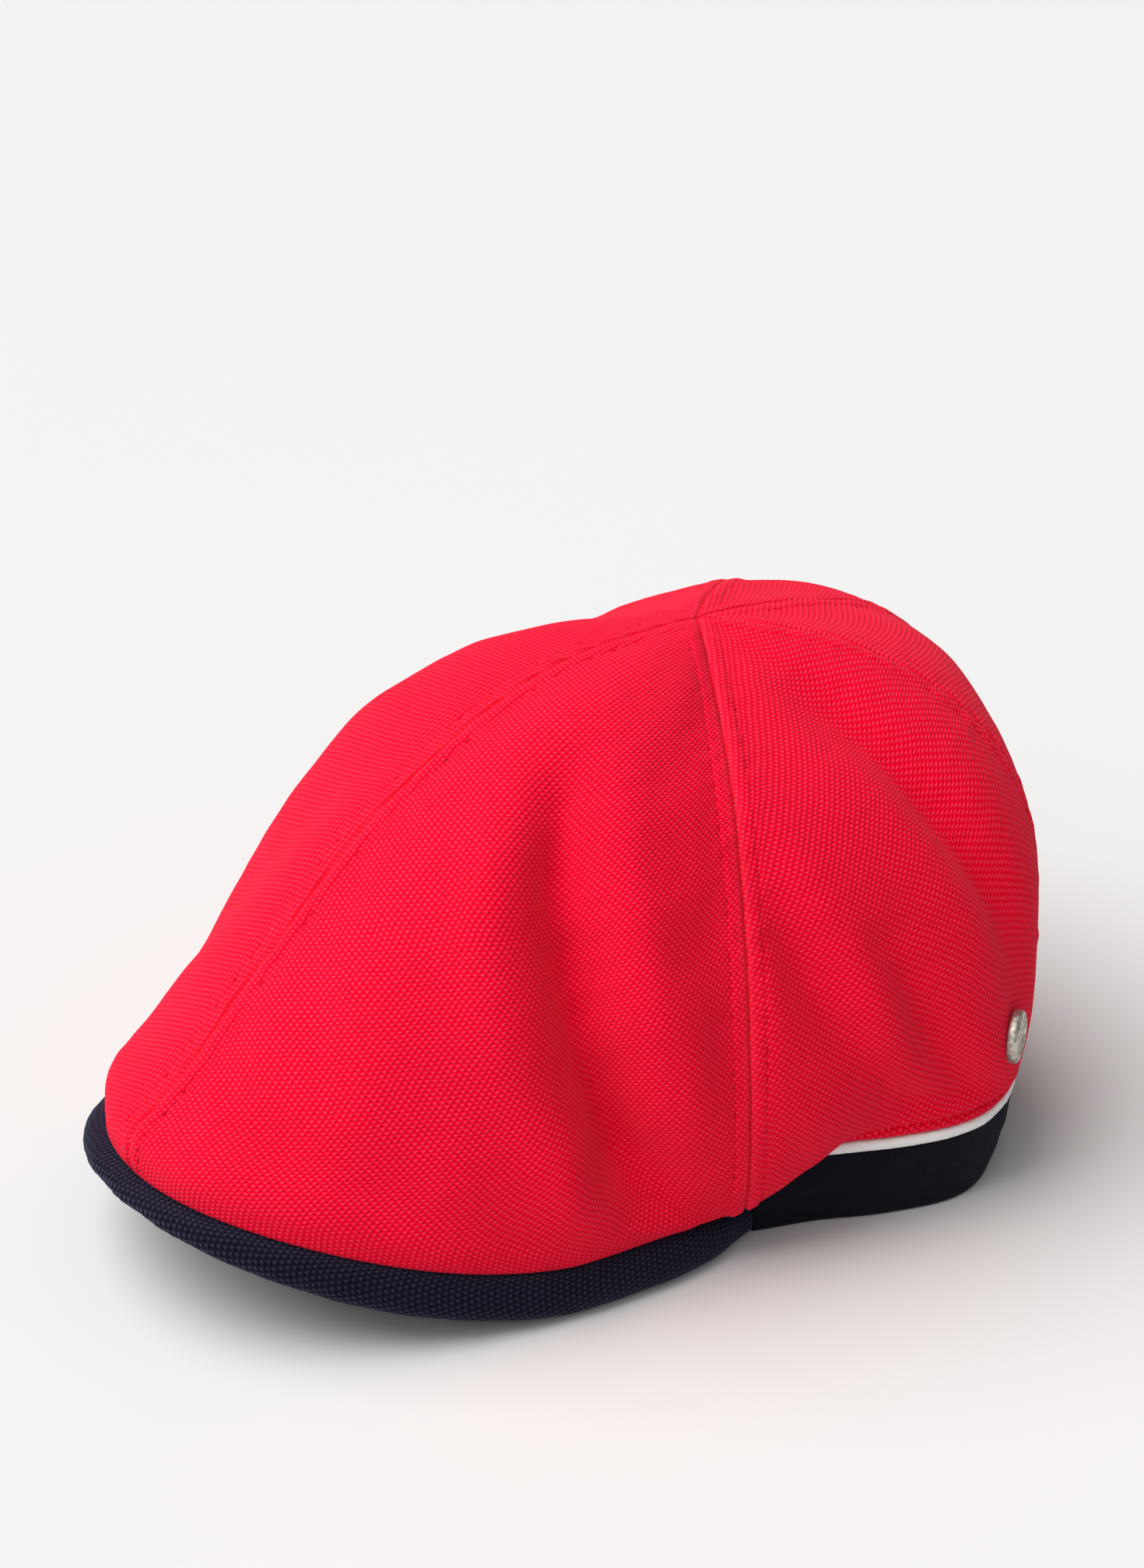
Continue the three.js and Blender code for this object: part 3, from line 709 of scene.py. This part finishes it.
def sums(tree, operation, *values):
    made = node(tree, "ShaderNodeMath", operation=operation)
    for socket, value in zip(made.inputs, values):
        feed(tree, socket, value)
    return made.outputs[0]


def ranged(tree, value, limits, results=(0, 1)):
    """A value carried from between two limits to between two results."""
    made = node(tree, "ShaderNodeMapRange")
    for socket, item in zip(made.inputs, (value, *limits, *results)):
        feed(tree, socket, item)
    return made.outputs[0]


def tinted(tree, color, tint, value, limits, shares=(0, 1)):
    """A colour mixed with a tint, by shares that follow a value between two limits."""
    made = node(tree, "ShaderNodeMix", data_type="RGBA")
    share = ranged(tree, value, limits, shares)
    for index, item in zip(MIX_SOCKETS, (share, color, rgba(*tint))):
        feed(tree, made.inputs[index], item)
    return made.outputs[2]


def add_bump(tree, shader, height, depth, strength=1.0):
    bump = node(tree, "ShaderNodeBump", Strength=strength, Distance=depth * MM, Height=height)
    tree.links.new(bump.outputs[0], shader.inputs["Normal"])


def new_material(name):
    material = bpy.data.materials.new(name)
    material.use_nodes = True
    tree = material.node_tree
    return material, tree, tree.nodes["Principled BSDF"]


def rgba(red, green, blue):
    return (red, green, blue, 1)


def noise(tree, place, scale, detail=3.0, roughness=0.55):
    made = node(tree, "ShaderNodeTexNoise", Scale=scale, Detail=detail, Roughness=roughness)
    tree.links.new(place, made.inputs["Vector"])
    return made.outputs["Fac"]


def cloth_material(name, colors, pitch, turn, depth, sheen, sheen_tint):
    """Knitted pique. The weave attribute holds the place on the cloth in millimetres."""
    dark, middle, light = colors
    material, tree, shader = new_material(name)
    weave = node(tree, "ShaderNodeAttribute", attribute_name="weave").outputs["Vector"]
    across, along, to_seam = node(tree, "ShaderNodeSeparateXYZ", Vector=weave).outputs
    place = node(tree, "ShaderNodeCombineXYZ", X=across, Y=along).outputs[0]

    # The rows of the knit wander a little.
    wander_across = sums(tree, "MULTIPLY_ADD", noise(tree, place, WANDER_ACROSS, 2), WANDER, across)
    shifted = node(tree, "ShaderNodeVectorMath", operation="ADD")
    feed(tree, shifted.inputs[0], place)
    feed(tree, shifted.inputs[1], WANDER_APART)
    wander_along = sums(
        tree, "MULTIPLY_ADD", noise(tree, shifted.outputs[0], WANDER_ALONG, 2), WANDER, along
    )
    cosine = math.cos(math.radians(turn))
    sine = math.sin(math.radians(turn))
    first = sums(tree, "MULTIPLY", wander_across, cosine)
    first = sums(tree, "MULTIPLY_ADD", wander_along, sine, first)
    second = sums(tree, "MULTIPLY", wander_along, cosine)
    second = sums(tree, "MULTIPLY_ADD", wander_across, -sine, second)
    first = sums(tree, "MULTIPLY", first, 2 * math.pi / pitch[0])
    second = sums(tree, "MULTIPLY", second, 2 * math.pi / pitch[1])

    # Each loop is a knot with a pit beside it: two crossing waves and their slanting sum.
    waves = sums(tree, "ADD", sums(tree, "COSINE", first), sums(tree, "COSINE", second))
    slant = sums(tree, "COSINE", sums(tree, "ADD", sums(tree, "ADD", first, second), SLANT_SHIFT))
    cells = sums(tree, "MULTIPLY_ADD", slant, LOOP_SLANT, LOOP_LEVEL)
    cells = sums(tree, "MULTIPLY_ADD", waves, LOOP_WAVES, cells)

    # Fibres, patches of colour and the wear along the seams. The colour follows the knit and its fibres,
    # with painted shade in the pits and a painted highlight on the knots.
    fibres = noise(tree, place, scale=2.2, detail=4, roughness=0.7)
    patches = noise(tree, place, scale=0.035)
    lifted = sums(tree, "MULTIPLY_ADD", sums(tree, "SUBTRACT", fibres, 0.5), 0.8, cells)
    color = tinted(tree, rgba(*dark), middle, lifted, limits=(0.05, 0.5))
    color = tinted(tree, color, light, lifted, limits=(0.5, 1.1))
    color = tinted(tree, color, dark, patches, limits=(0.35, 0.7), shares=(0, 0.12))
    color = tinted(tree, color, light, to_seam, limits=(0.5, 2.4), shares=(0.15, 0))
    tree.links.new(color, shader.inputs["Base Color"])
    roughness = ranged(tree, lifted, limits=(0, 1), results=(0.98, 0.82))
    tree.links.new(roughness, shader.inputs["Roughness"])
    shader.inputs["Sheen Weight"].default_value = sheen
    shader.inputs["Sheen Roughness"].default_value = 0.45
    shader.inputs["Sheen Tint"].default_value = rgba(*sheen_tint)
    shader.inputs["Specular IOR Level"].default_value = 0.04
    add_bump(tree, shader, sums(tree, "MULTIPLY_ADD", fibres, 0.35, cells), depth)
    return material


def felt_material(name, colors, sheen_tint):
    """Brushed felt with loose fibres."""
    dark, light = colors
    material, tree, shader = new_material(name)
    place = node(tree, "ShaderNodeTexCoord").outputs["Object"]
    coarse = noise(tree, place, scale=420, detail=5, roughness=0.7)
    fine = noise(tree, place, scale=2600, detail=4, roughness=0.7)
    patches = noise(tree, place, scale=60)
    fluff = sums(tree, "MULTIPLY_ADD", fine, 0.5, sums(tree, "MULTIPLY", coarse, 0.5))
    color = tinted(tree, rgba(*dark), light, fluff, limits=(0.38, 0.68))
    color = tinted(tree, color, dark, patches, limits=(0.4, 0.7), shares=(0, 0.35))
    tree.links.new(color, shader.inputs["Base Color"])
    shader.inputs["Roughness"].default_value = 0.97
    shader.inputs["Sheen Weight"].default_value = 0.12
    shader.inputs["Sheen Roughness"].default_value = 0.5
    shader.inputs["Sheen Tint"].default_value = rgba(*sheen_tint)
    shader.inputs["Specular IOR Level"].default_value = 0.15
    add_bump(tree, shader, fluff, depth=0.6)
    return material


def satin_material(name, colors):
    """Satin bias tape, with a fine diagonal twill and small gathers."""
    dark, middle, light = colors
    material, tree, shader = new_material(name)
    weave = node(tree, "ShaderNodeAttribute", attribute_name="weave").outputs["Vector"]
    across, along, _ = node(tree, "ShaderNodeSeparateXYZ", Vector=weave).outputs
    slant = sums(tree, "ADD", along, across)
    twill = sums(tree, "SINE", sums(tree, "MULTIPLY", slant, 2 * math.pi / SATIN_PITCH))
    gathers = noise(tree, weave, scale=0.35)
    color = tinted(tree, rgba(*middle), light, twill, limits=(-1, 1))
    color = tinted(tree, color, dark, gathers, limits=(0.35, 0.75), shares=(0, 0.35))
    tree.links.new(color, shader.inputs["Base Color"])
    roughness = ranged(tree, gathers, limits=(0.3, 0.7), results=(0.42, 0.6))
    tree.links.new(roughness, shader.inputs["Roughness"])
    shader.inputs["Sheen Weight"].default_value = 0.25
    shader.inputs["Specular IOR Level"].default_value = 0.45
    height = sums(tree, "MULTIPLY_ADD", twill, 0.3, sums(tree, "MULTIPLY", gathers, 2.0))
    add_bump(tree, shader, height, depth=0.08, strength=0.7)
    return material


def metal_material(name, colors, smoothest, roughest):
    """Antique metal, in random patches: bright where it is rubbed, dark where it is stained."""
    dark, light = colors
    material, tree, shader = new_material(name)
    place = node(tree, "ShaderNodeTexCoord").outputs["Object"]
    stains = noise(tree, place, scale=900, detail=5, roughness=0.65)
    scratches = noise(tree, place, scale=4200)
    color = tinted(tree, rgba(*light), dark, stains, limits=(0.4, 0.66))
    tree.links.new(color, shader.inputs["Base Color"])
    shader.inputs["Metallic"].default_value = 0.85
    roughness = ranged(tree, stains, limits=(0.3, 0.7), results=(smoothest, roughest))
    tree.links.new(roughness, shader.inputs["Roughness"])
    height = sums(tree, "MULTIPLY_ADD", scratches, 0.4, stains)
    add_bump(tree, shader, height, depth=0.05, strength=0.5)
    return material


def thread_material(name, colors):
    dark, light = colors
    material, tree, shader = new_material(name)
    place = node(tree, "ShaderNodeTexCoord").outputs["Object"]
    strands = noise(tree, place, scale=3000)
    color = tinted(tree, rgba(*dark), light, strands, limits=(0.35, 0.65))
    tree.links.new(color, shader.inputs["Base Color"])
    shader.inputs["Roughness"].default_value = 0.9
    shader.inputs["Specular IOR Level"].default_value = 0.05
    add_bump(tree, shader, strands, depth=0.06, strength=0.6)
    return material


def dress(item, material, slot, *nodes):
    item.data.materials.append(material)
    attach(item, "root")
    if nodes:
        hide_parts(*nodes)
    return item


# Crown

# Name, seams, columns, and how far the knit is turned from the panel's middle line
PANELS = (
    ("front_left", 0, SIDE_SEAM, 60, 20),
    ("front_right", -SIDE_SEAM, 0, 60, -20),
    ("side_left", SIDE_SEAM, QUARTER_SEAM, 60, 37),
    ("side_right", -QUARTER_SEAM, -SIDE_SEAM, 60, -37),
    ("back_left", QUARTER_SEAM, 180, 44, 24),
    ("back_right", -180, -QUARTER_SEAM, 44, -24),
)
SEAMS = (
    ("front", 0),
    ("left_side", SIDE_SEAM),
    ("right_side", -SIDE_SEAM),
    ("left_quarter", QUARTER_SEAM),
    ("right_quarter", -QUARTER_SEAM),
    ("back", 180),
)
FIRST_SEED = 20
SEED_STEP = 10


def build_crown():
    for index, (name, start, end, columns, turn) in enumerate(PANELS):
        item = panel_object(name + "_cloth", start, end, columns, FIRST_SEED + SEED_STEP * index)
        cloth = cloth_material(
            name + "_pique", RED, RED_PITCH, turn, depth=0.42, sheen=0.14, sheen_tint=RED_SHEEN
        )
        dress(item, cloth, "red_cloth", name + "_panel")
    thread = thread_material("red_thread", THREAD)
    for name, seam in SEAMS:
        lines = [seam_line(seam, side) for side in (-1, 1)]
        dress(stitches_object(name + "_seam_stitches", lines), thread, "red_cloth")


# Bill

# Steps round the bill and the band, and the gap in degrees between their ends
BILL_STEPS = 320
BAND_STEPS = 420
PIPING_STEPS = 700
END_GAP = 0.1

# Degrees before the corner where the bill draws in, and where its plate grows thicker
DRAW_IN = 12
TAPER = 20

# Points along the underside, round the edge and along the top land
UNDER_POINTS = 16
EDGE_POINTS = 22
LAND_POINTS = 6
UNDER_SAG = 0.25
SAG_START = (0, 0.3)

# Places of the wall under the hem: back from the hem, back from the edge, and least widths
WALL_FOOT = 3
WALL_TOP = 3.4
LAND_EDGE = 4.6
LAND_START = 5.6
WALL_FROM_EDGE = 0.6
LAND_FROM_EDGE = 1.8
HEM_OVER_EDGE = 0.6
WALL_SLOPE = 0.15
LAND_DROP = 1
LEAST_LAND = 1

# Depth, size and seed of the lumps, and where they start as shares of the way outward
BILL_LUMPS = ((0.22, 15, 91), (0.08, 4, 92))
LUMPS_START = (0.55, 0.9)


def bill_outline(angle, reach, floor):
    """Distances outward and heights over the floor of each section's closed outline."""
    # Under the hanging hem the edge of the bill is pressed flatter.
    edge = edge_thickness(angle) - BILL_PRESSED * hem_drop(angle)
    opening = np.minimum(opening_reach(angle), reach - BILL_HORN_WIDTH)
    land = np.maximum(reach - BILL_LIP - BILL_TOP_LAND, opening + LEAST_LAND)
    radius = edge / 2
    plate = mix(BILL_PLATE, edge, smooth_step(CORNER_ANGLE - TAPER, CORNER_ANGLE, np.abs(angle)))
    rise = np.interp(angle, ANGLE_STEPS, HEIGHT_CURVE) - SEAT_GAP - floor
    rise = np.maximum(rise, edge)
    sag = UNDER_SAG * smooth_step(*SAG_START, arch_share(angle))
    out = []
    up = []
    for share in np.linspace(0, 1, UNDER_POINTS):
        out.append(mix(opening, reach - radius, share))
        up.append(sag * np.sin(np.pi * share))
    for turn in np.linspace(-np.pi / 2, np.pi / 2, EDGE_POINTS)[1:-1]:
        out.append(reach - radius + radius * math.cos(turn))
        up.append(radius + radius * math.sin(turn))
    hem_out = np.minimum(np.interp(angle, ANGLE_STEPS, REACH_CURVE), reach - radius * HEM_OVER_EDGE)
    out.append(reach - radius)
    up.append(edge)
    out.append(mix(reach - radius, np.minimum(hem_out - WALL_FOOT, reach - radius), 0.5))
    up.append(mix(edge, rise, WALL_SLOPE))
    out.append(np.minimum(hem_out - WALL_TOP, reach - radius - WALL_FROM_EDGE))
    up.append(rise)
    out.append(np.minimum(hem_out - LAND_EDGE, reach - radius - LAND_FROM_EDGE))
    up.append(rise)
    for share in np.linspace(0, 1, LAND_POINTS):
        out.append(mix(np.minimum(land, hem_out - LAND_START), opening, share))
        up.append(mix(np.maximum(edge, rise - LAND_DROP), plate, share))
    return np.stack(out, axis=1), np.stack(up, axis=1), opening


def lengths_along(line):
    steps = np.linalg.norm(np.diff(line, axis=0), axis=-1)
    return np.concatenate([[0], np.cumsum(steps)])[:, None]


def lengths_across(sections):
    steps = np.linalg.norm(np.diff(sections, axis=1), axis=-1)
    return np.concatenate([np.zeros((len(sections), 1)), np.cumsum(steps, axis=1)], axis=1)


def build_bill():
    end = CORNER_ANGLE - END_GAP
    angle = np.linspace(-end, end, BILL_STEPS + 1)
    # The ends of the bill draw in until they are flush with the band.
    near_corner = smooth_step(CORNER_ANGLE - DRAW_IN, CORNER_ANGLE, np.abs(angle))
    reach = bill_reach(angle) - (CORNER_INSET + CLOTH_WALL / 2) * near_corner
    floor = BILL_ARCH * arch_share(angle)
    out, up, opening = bill_outline(angle, reach, floor)
    sections = placed(angle[:, None], out, floor[:, None] + up)
    across = lengths_across(sections)
    along = lengths_along(placed(angle, reach, floor)) + 0 * across
    direction = placed(angle[:, None], 1 + 0 * out, 0 * up)
    outer_part = smooth_step(*LUMPS_START, (out - opening[:, None]) / (reach - opening)[:, None])
    sections = sections + direction * (lumps(along, across, BILL_LUMPS) * outer_part)[..., None]
    weave = np.stack([along, across, FAR_FROM_SEAM + 0 * across], axis=-1)
    item = swept_object("bill_cover", sections, weave)
    material = cloth_material(
        "navy_pique", NAVY, NAVY_PITCH, NAVY_TURN, depth=0.4, sheen=0.2, sheen_tint=NAVY_SHEEN
    )
    dress(item, material, "navy_cloth", "bill")


# Band and piping

# Depth, size and seed of the lumps, and the heights over which they start
BAND_LUMPS = ((0.3, 24, 61), (0.1, 5, 62))
BAND_CALM = (1, 6)

# Roundings of the band's foot and top, and the rows of points between them
BAND_FOOT_ROUND = 1.3
BAND_TOP_ROUND = 0.6
BAND_ROUND_POINTS = 13
BAND_ROWS = (BAND_FOOT_ROUND + 0.2, BAND_HEIGHT - 0.8)
BAND_ROW_POINTS = 14

# The piping's section: flat root, fullness, and its seat and height as shares of the seat gap
PIPING_ROOT = 0.5
PIPING_FULLNESS = 0.75
PIPING_LIFT = 0.4
PIPING_STRETCH = 0.9
PIPING_ROUND_POINTS = 15
PIPING_FLAT_POINTS = 4
GATHERS = ((0.07, 3.5, 71),)
WAVER = ((0.12, 14, 72),)


def ring_sections(profile, steps):
    """Sections round the sides and the back. The profile gives out and up lists for an angle."""
    start = CORNER_ANGLE + END_GAP
    turn = np.linspace(start, 360 - start, steps + 1)
    signed = np.where(turn > 180, turn - 360, turn)
    out, up = profile(np.abs(signed))
    sections = placed(signed[:, None], out, up)
    across = lengths_across(sections)
    along = lengths_along(sections.mean(axis=1)) + 0 * across
    direction = placed(signed[:, None], 1 + 0 * across, 0 * across)
    return sections, along, across, direction


def ring_object(name, sections, along, across):
    weave = np.stack([along, across, FAR_FROM_SEAM + 0 * across], axis=-1)
    return swept_object(name, sections, weave)


def band_outline():
    """Heights, and offsets from the band's outer face, round its section."""
    turns = np.linspace(-math.pi / 2, math.pi / 2, BAND_ROUND_POINTS)
    half = BAND_ROUND_POINTS // 2
    rows = []
    for turn in turns[:half]:
        height = BAND_FOOT_ROUND + BAND_FOOT_ROUND * math.sin(turn)
        rows.append((height, -BAND_FOOT_ROUND * (1 - math.cos(turn))))
    rows += [(height, 0) for height in np.linspace(*BAND_ROWS, BAND_ROW_POINTS)]
    for turn in turns[half:]:
        height = BAND_HEIGHT - BAND_TOP_ROUND + BAND_TOP_ROUND * math.sin(turn)
        rows.append((height, -BAND_TOP_ROUND * (1 - math.cos(turn))))
    return rows + [(height, -(BAND_WALL + offset)) for height, offset in rows[::-1]]


def band_profile(angle):
    top = band_reach(angle) - CLOTH_WALL / 2
    foot = top - BAND_TUCK * table_curve(BAND_PLAN, 2, angle)
    out = []
    up = []
    for height, offset in band_outline():
        lean = mix(foot, top, math.sin(math.pi / 2 * min(height / BAND_HEIGHT, 1)))
        out.append(lean + offset)
        up.append(0 * angle + height)
    return np.stack(out, axis=1), np.stack(up, axis=1)


def piping_profile(angle):
    face = band_reach(angle) - CLOTH_WALL / 2
    low = BAND_HEIGHT + SEAT_GAP * PIPING_LIFT
    tall = PIPING_HEIGHT + SEAT_GAP * PIPING_STRETCH
    out = []
    up = []
    for turn in np.linspace(-math.pi / 2, math.pi / 2, PIPING_ROUND_POINTS):
        full = max(math.cos(turn), 0) ** PIPING_FULLNESS
        out.append(face - PIPING_ROOT + (PIPING_PROUD + PIPING_ROOT) * full)
        up.append(0 * angle + low + tall / 2 + tall / 2 * math.sin(turn))
    for share in np.linspace(0, 1, PIPING_FLAT_POINTS)[1:]:
        out.append(mix(face - PIPING_ROOT, face - PIPING_WALL, share))
        up.append(0 * angle + low + tall)
    for share in np.linspace(0, 1, PIPING_FLAT_POINTS)[:-1]:
        out.append(mix(face - PIPING_WALL, face - PIPING_ROOT, share))
        up.append(0 * angle + low)
    return np.stack(out, axis=1), np.stack(up, axis=1)


def build_band():
    sections, along, across, direction = ring_sections(band_profile, BAND_STEPS)
    calm = smooth_step(*BAND_CALM, sections[..., 2])
    sections = sections + direction * (lumps(along, across, BAND_LUMPS) * calm)[..., None]
    item = ring_object("band_felt", sections, along, across)
    dress(item, felt_material("navy_felt", FELT, FELT_SHEEN), "navy_cloth", "head_band")


def build_piping():
    sections, along, across, direction = ring_sections(piping_profile, PIPING_STEPS)
    gathers = lumps(along + across, across, GATHERS) + lumps(along, 0 * across, WAVER)
    sections = sections + direction * gathers[..., None]
    item = ring_object("piping_tape", sections, along, across)
    dress(item, satin_material("white_satin_tape", SATIN), "white_satin", "piping")


# Snap button

def build_snap():
    washer = np.array([v.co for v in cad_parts["snap_washer"].data.vertices], float)
    cap = np.array([v.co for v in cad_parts["snap_cap"].data.vertices], float)
    centre = washer.mean(0)
    axis = np.linalg.svd(washer - centre)[2][2]
    if (cap.mean(0) - centre) @ axis < 0:
        axis = -axis
    reach = (cap - centre) @ axis
    radius = np.linalg.norm(cap - centre - reach[:, None] * axis, axis=1).max() / MM
    # The button stands upright, a little above the middle of its CAD solid.
    top = centre + axis * reach.max() - axis * SNAP_SUNK * MM + [0, 0, SNAP_RAISED * MM]
    turned = Matrix.Rotation(math.radians(SNAP_TURN), 3, "Z") @ Vector((axis[0], axis[1], 0))
    axis = unit(np.array(turned))
    turn = np.linspace(0, 2 * np.pi, SNAP_SIDES, endpoint=False)
    first = unit(np.cross(axis, [0, 0, 1.0]))
    second = np.cross(axis, first)
    ring = np.outer(np.cos(turn), first) + np.outer(np.sin(turn), second)
    points = [top + axis * (SNAP_PROFILE[0][1] - SNAP_RISE) * MM]
    for share, height in SNAP_PROFILE[1:-1]:
        points += list(top + axis * (height - SNAP_RISE) * MM + ring * share * radius * MM)
    points.append(top + axis * (SNAP_PROFILE[-1][1] - SNAP_RISE) * MM)
    last_ring = 1 + (len(SNAP_PROFILE) - 3) * SNAP_SIDES
    faces = []
    for side in range(SNAP_SIDES):
        after = (side + 1) % SNAP_SIDES
        faces.append([0, 1 + side, 1 + after])
        for low in range(1, last_ring, SNAP_SIDES):
            faces.append([low + side, low + SNAP_SIDES + side, low + SNAP_SIDES + after, low + after])
        faces.append([last_ring + side, len(points) - 1, last_ring + after])
    local = np.array(points) / MM - [TIP_X, TIP_Y, 0]
    item = new_object("snap_button", local, faces, 0 * local)
    pewter = metal_material("antique_pewter", PEWTER, smoothest=0.3, roughest=0.5)
    dress(item, pewter, "pewter", "snap_cap")
    washer_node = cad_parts["snap_washer"]
    washer_node.data.materials.clear()
    washer_node.data.materials.append(
        metal_material("dark_brass", BRASS, smoothest=0.45, roughest=0.65)
    )


# Stage: floor, lights and camera

# Sizes here are in metres, angles in degrees. The targets are in millimetres from the tip's axis.
FLOOR_HALF = 6.0
FLOOR_COLOR = (0.67, 0.67, 0.662)
SKY_COLOR = (0.98, 0.99, 1.0)
SKY_STRENGTH = 0.26
CAMERA_AZIMUTH = 55.5
CAMERA_ELEVATION = 26.5
CAMERA_DISTANCE = 0.9
AIM_AHEAD = 39.0
AIM_HEIGHT = 102.1
FOCUS_PIXELS = 4500
FRAME_PIXELS = 2014
SENSOR_WIDTH = 36.0

# Name, place that the light comes from, strength and angle of its softness. The strong one
# comes from high on the camera's left, the weak one from the left of the camera.
LIGHTS = (
    ("window_light", (-0.52, -0.6, 1.3), 3.3, 62),
    ("fill_light", (0.3, -0.9, 0.8), 1.1, 80),
)


def build_floor():
    half = FLOOR_HALF
    corners = [(-half, -half, 0), (half, -half, 0), (half, half, 0), (-half, half, 0)]
    mesh = bpy.data.meshes.new("floor")
    mesh.from_pydata(corners, [], [(0, 1, 2, 3)])
    floor = bpy.data.objects.new("floor", mesh)
    bpy.context.scene.collection.objects.link(floor)
    material, _, shader = new_material("pale_floor")
    shader.inputs["Base Color"].default_value = rgba(*FLOOR_COLOR)
    shader.inputs["Roughness"].default_value = 0.6
    shader.inputs["Specular IOR Level"].default_value = 0.2
    mesh.materials.append(material)


def build_lights():
    world = bpy.data.worlds.new("studio")
    bpy.context.scene.world = world
    world.use_nodes = True
    background = world.node_tree.nodes["Background"]
    background.inputs["Color"].default_value = rgba(*SKY_COLOR)
    background.inputs["Strength"].default_value = SKY_STRENGTH
    bpy.context.scene.view_settings.view_transform = "Standard"
    for name, place, strength, softness in LIGHTS:
        light = bpy.data.lights.new(name, "SUN")
        light.energy = strength
        light.angle = math.radians(softness)
        item = bpy.data.objects.new(name, light)
        item.location = place
        item.rotation_euler = (-Vector(place)).to_track_quat("-Z", "Y").to_euler()
        bpy.context.scene.collection.objects.link(item)


def build_camera():
    azimuth = math.radians(CAMERA_AZIMUTH)
    elevation = math.radians(CAMERA_ELEVATION)
    target = Vector((TIP_X * MM, (TIP_Y - AIM_AHEAD) * MM, AIM_HEIGHT * MM))
    direction = Vector((
        math.sin(azimuth) * math.cos(elevation),
        -math.cos(azimuth) * math.cos(elevation),
        math.sin(elevation),
    ))
    camera = bpy.data.objects.new("camera", bpy.data.cameras.new("camera"))
    camera.location = target + direction * CAMERA_DISTANCE
    camera.rotation_euler = (-direction).to_track_quat("-Z", "Y").to_euler()
    camera.data.sensor_width = SENSOR_WIDTH
    camera.data.lens = FOCUS_PIXELS / FRAME_PIXELS * SENSOR_WIDTH
    camera.data.clip_end = 30
    bpy.context.scene.collection.objects.link(camera)
    bpy.context.scene.camera = camera


build_camera()
build_floor()
build_lights()
build_crown()
build_bill()
build_band()
build_piping()
build_snap()
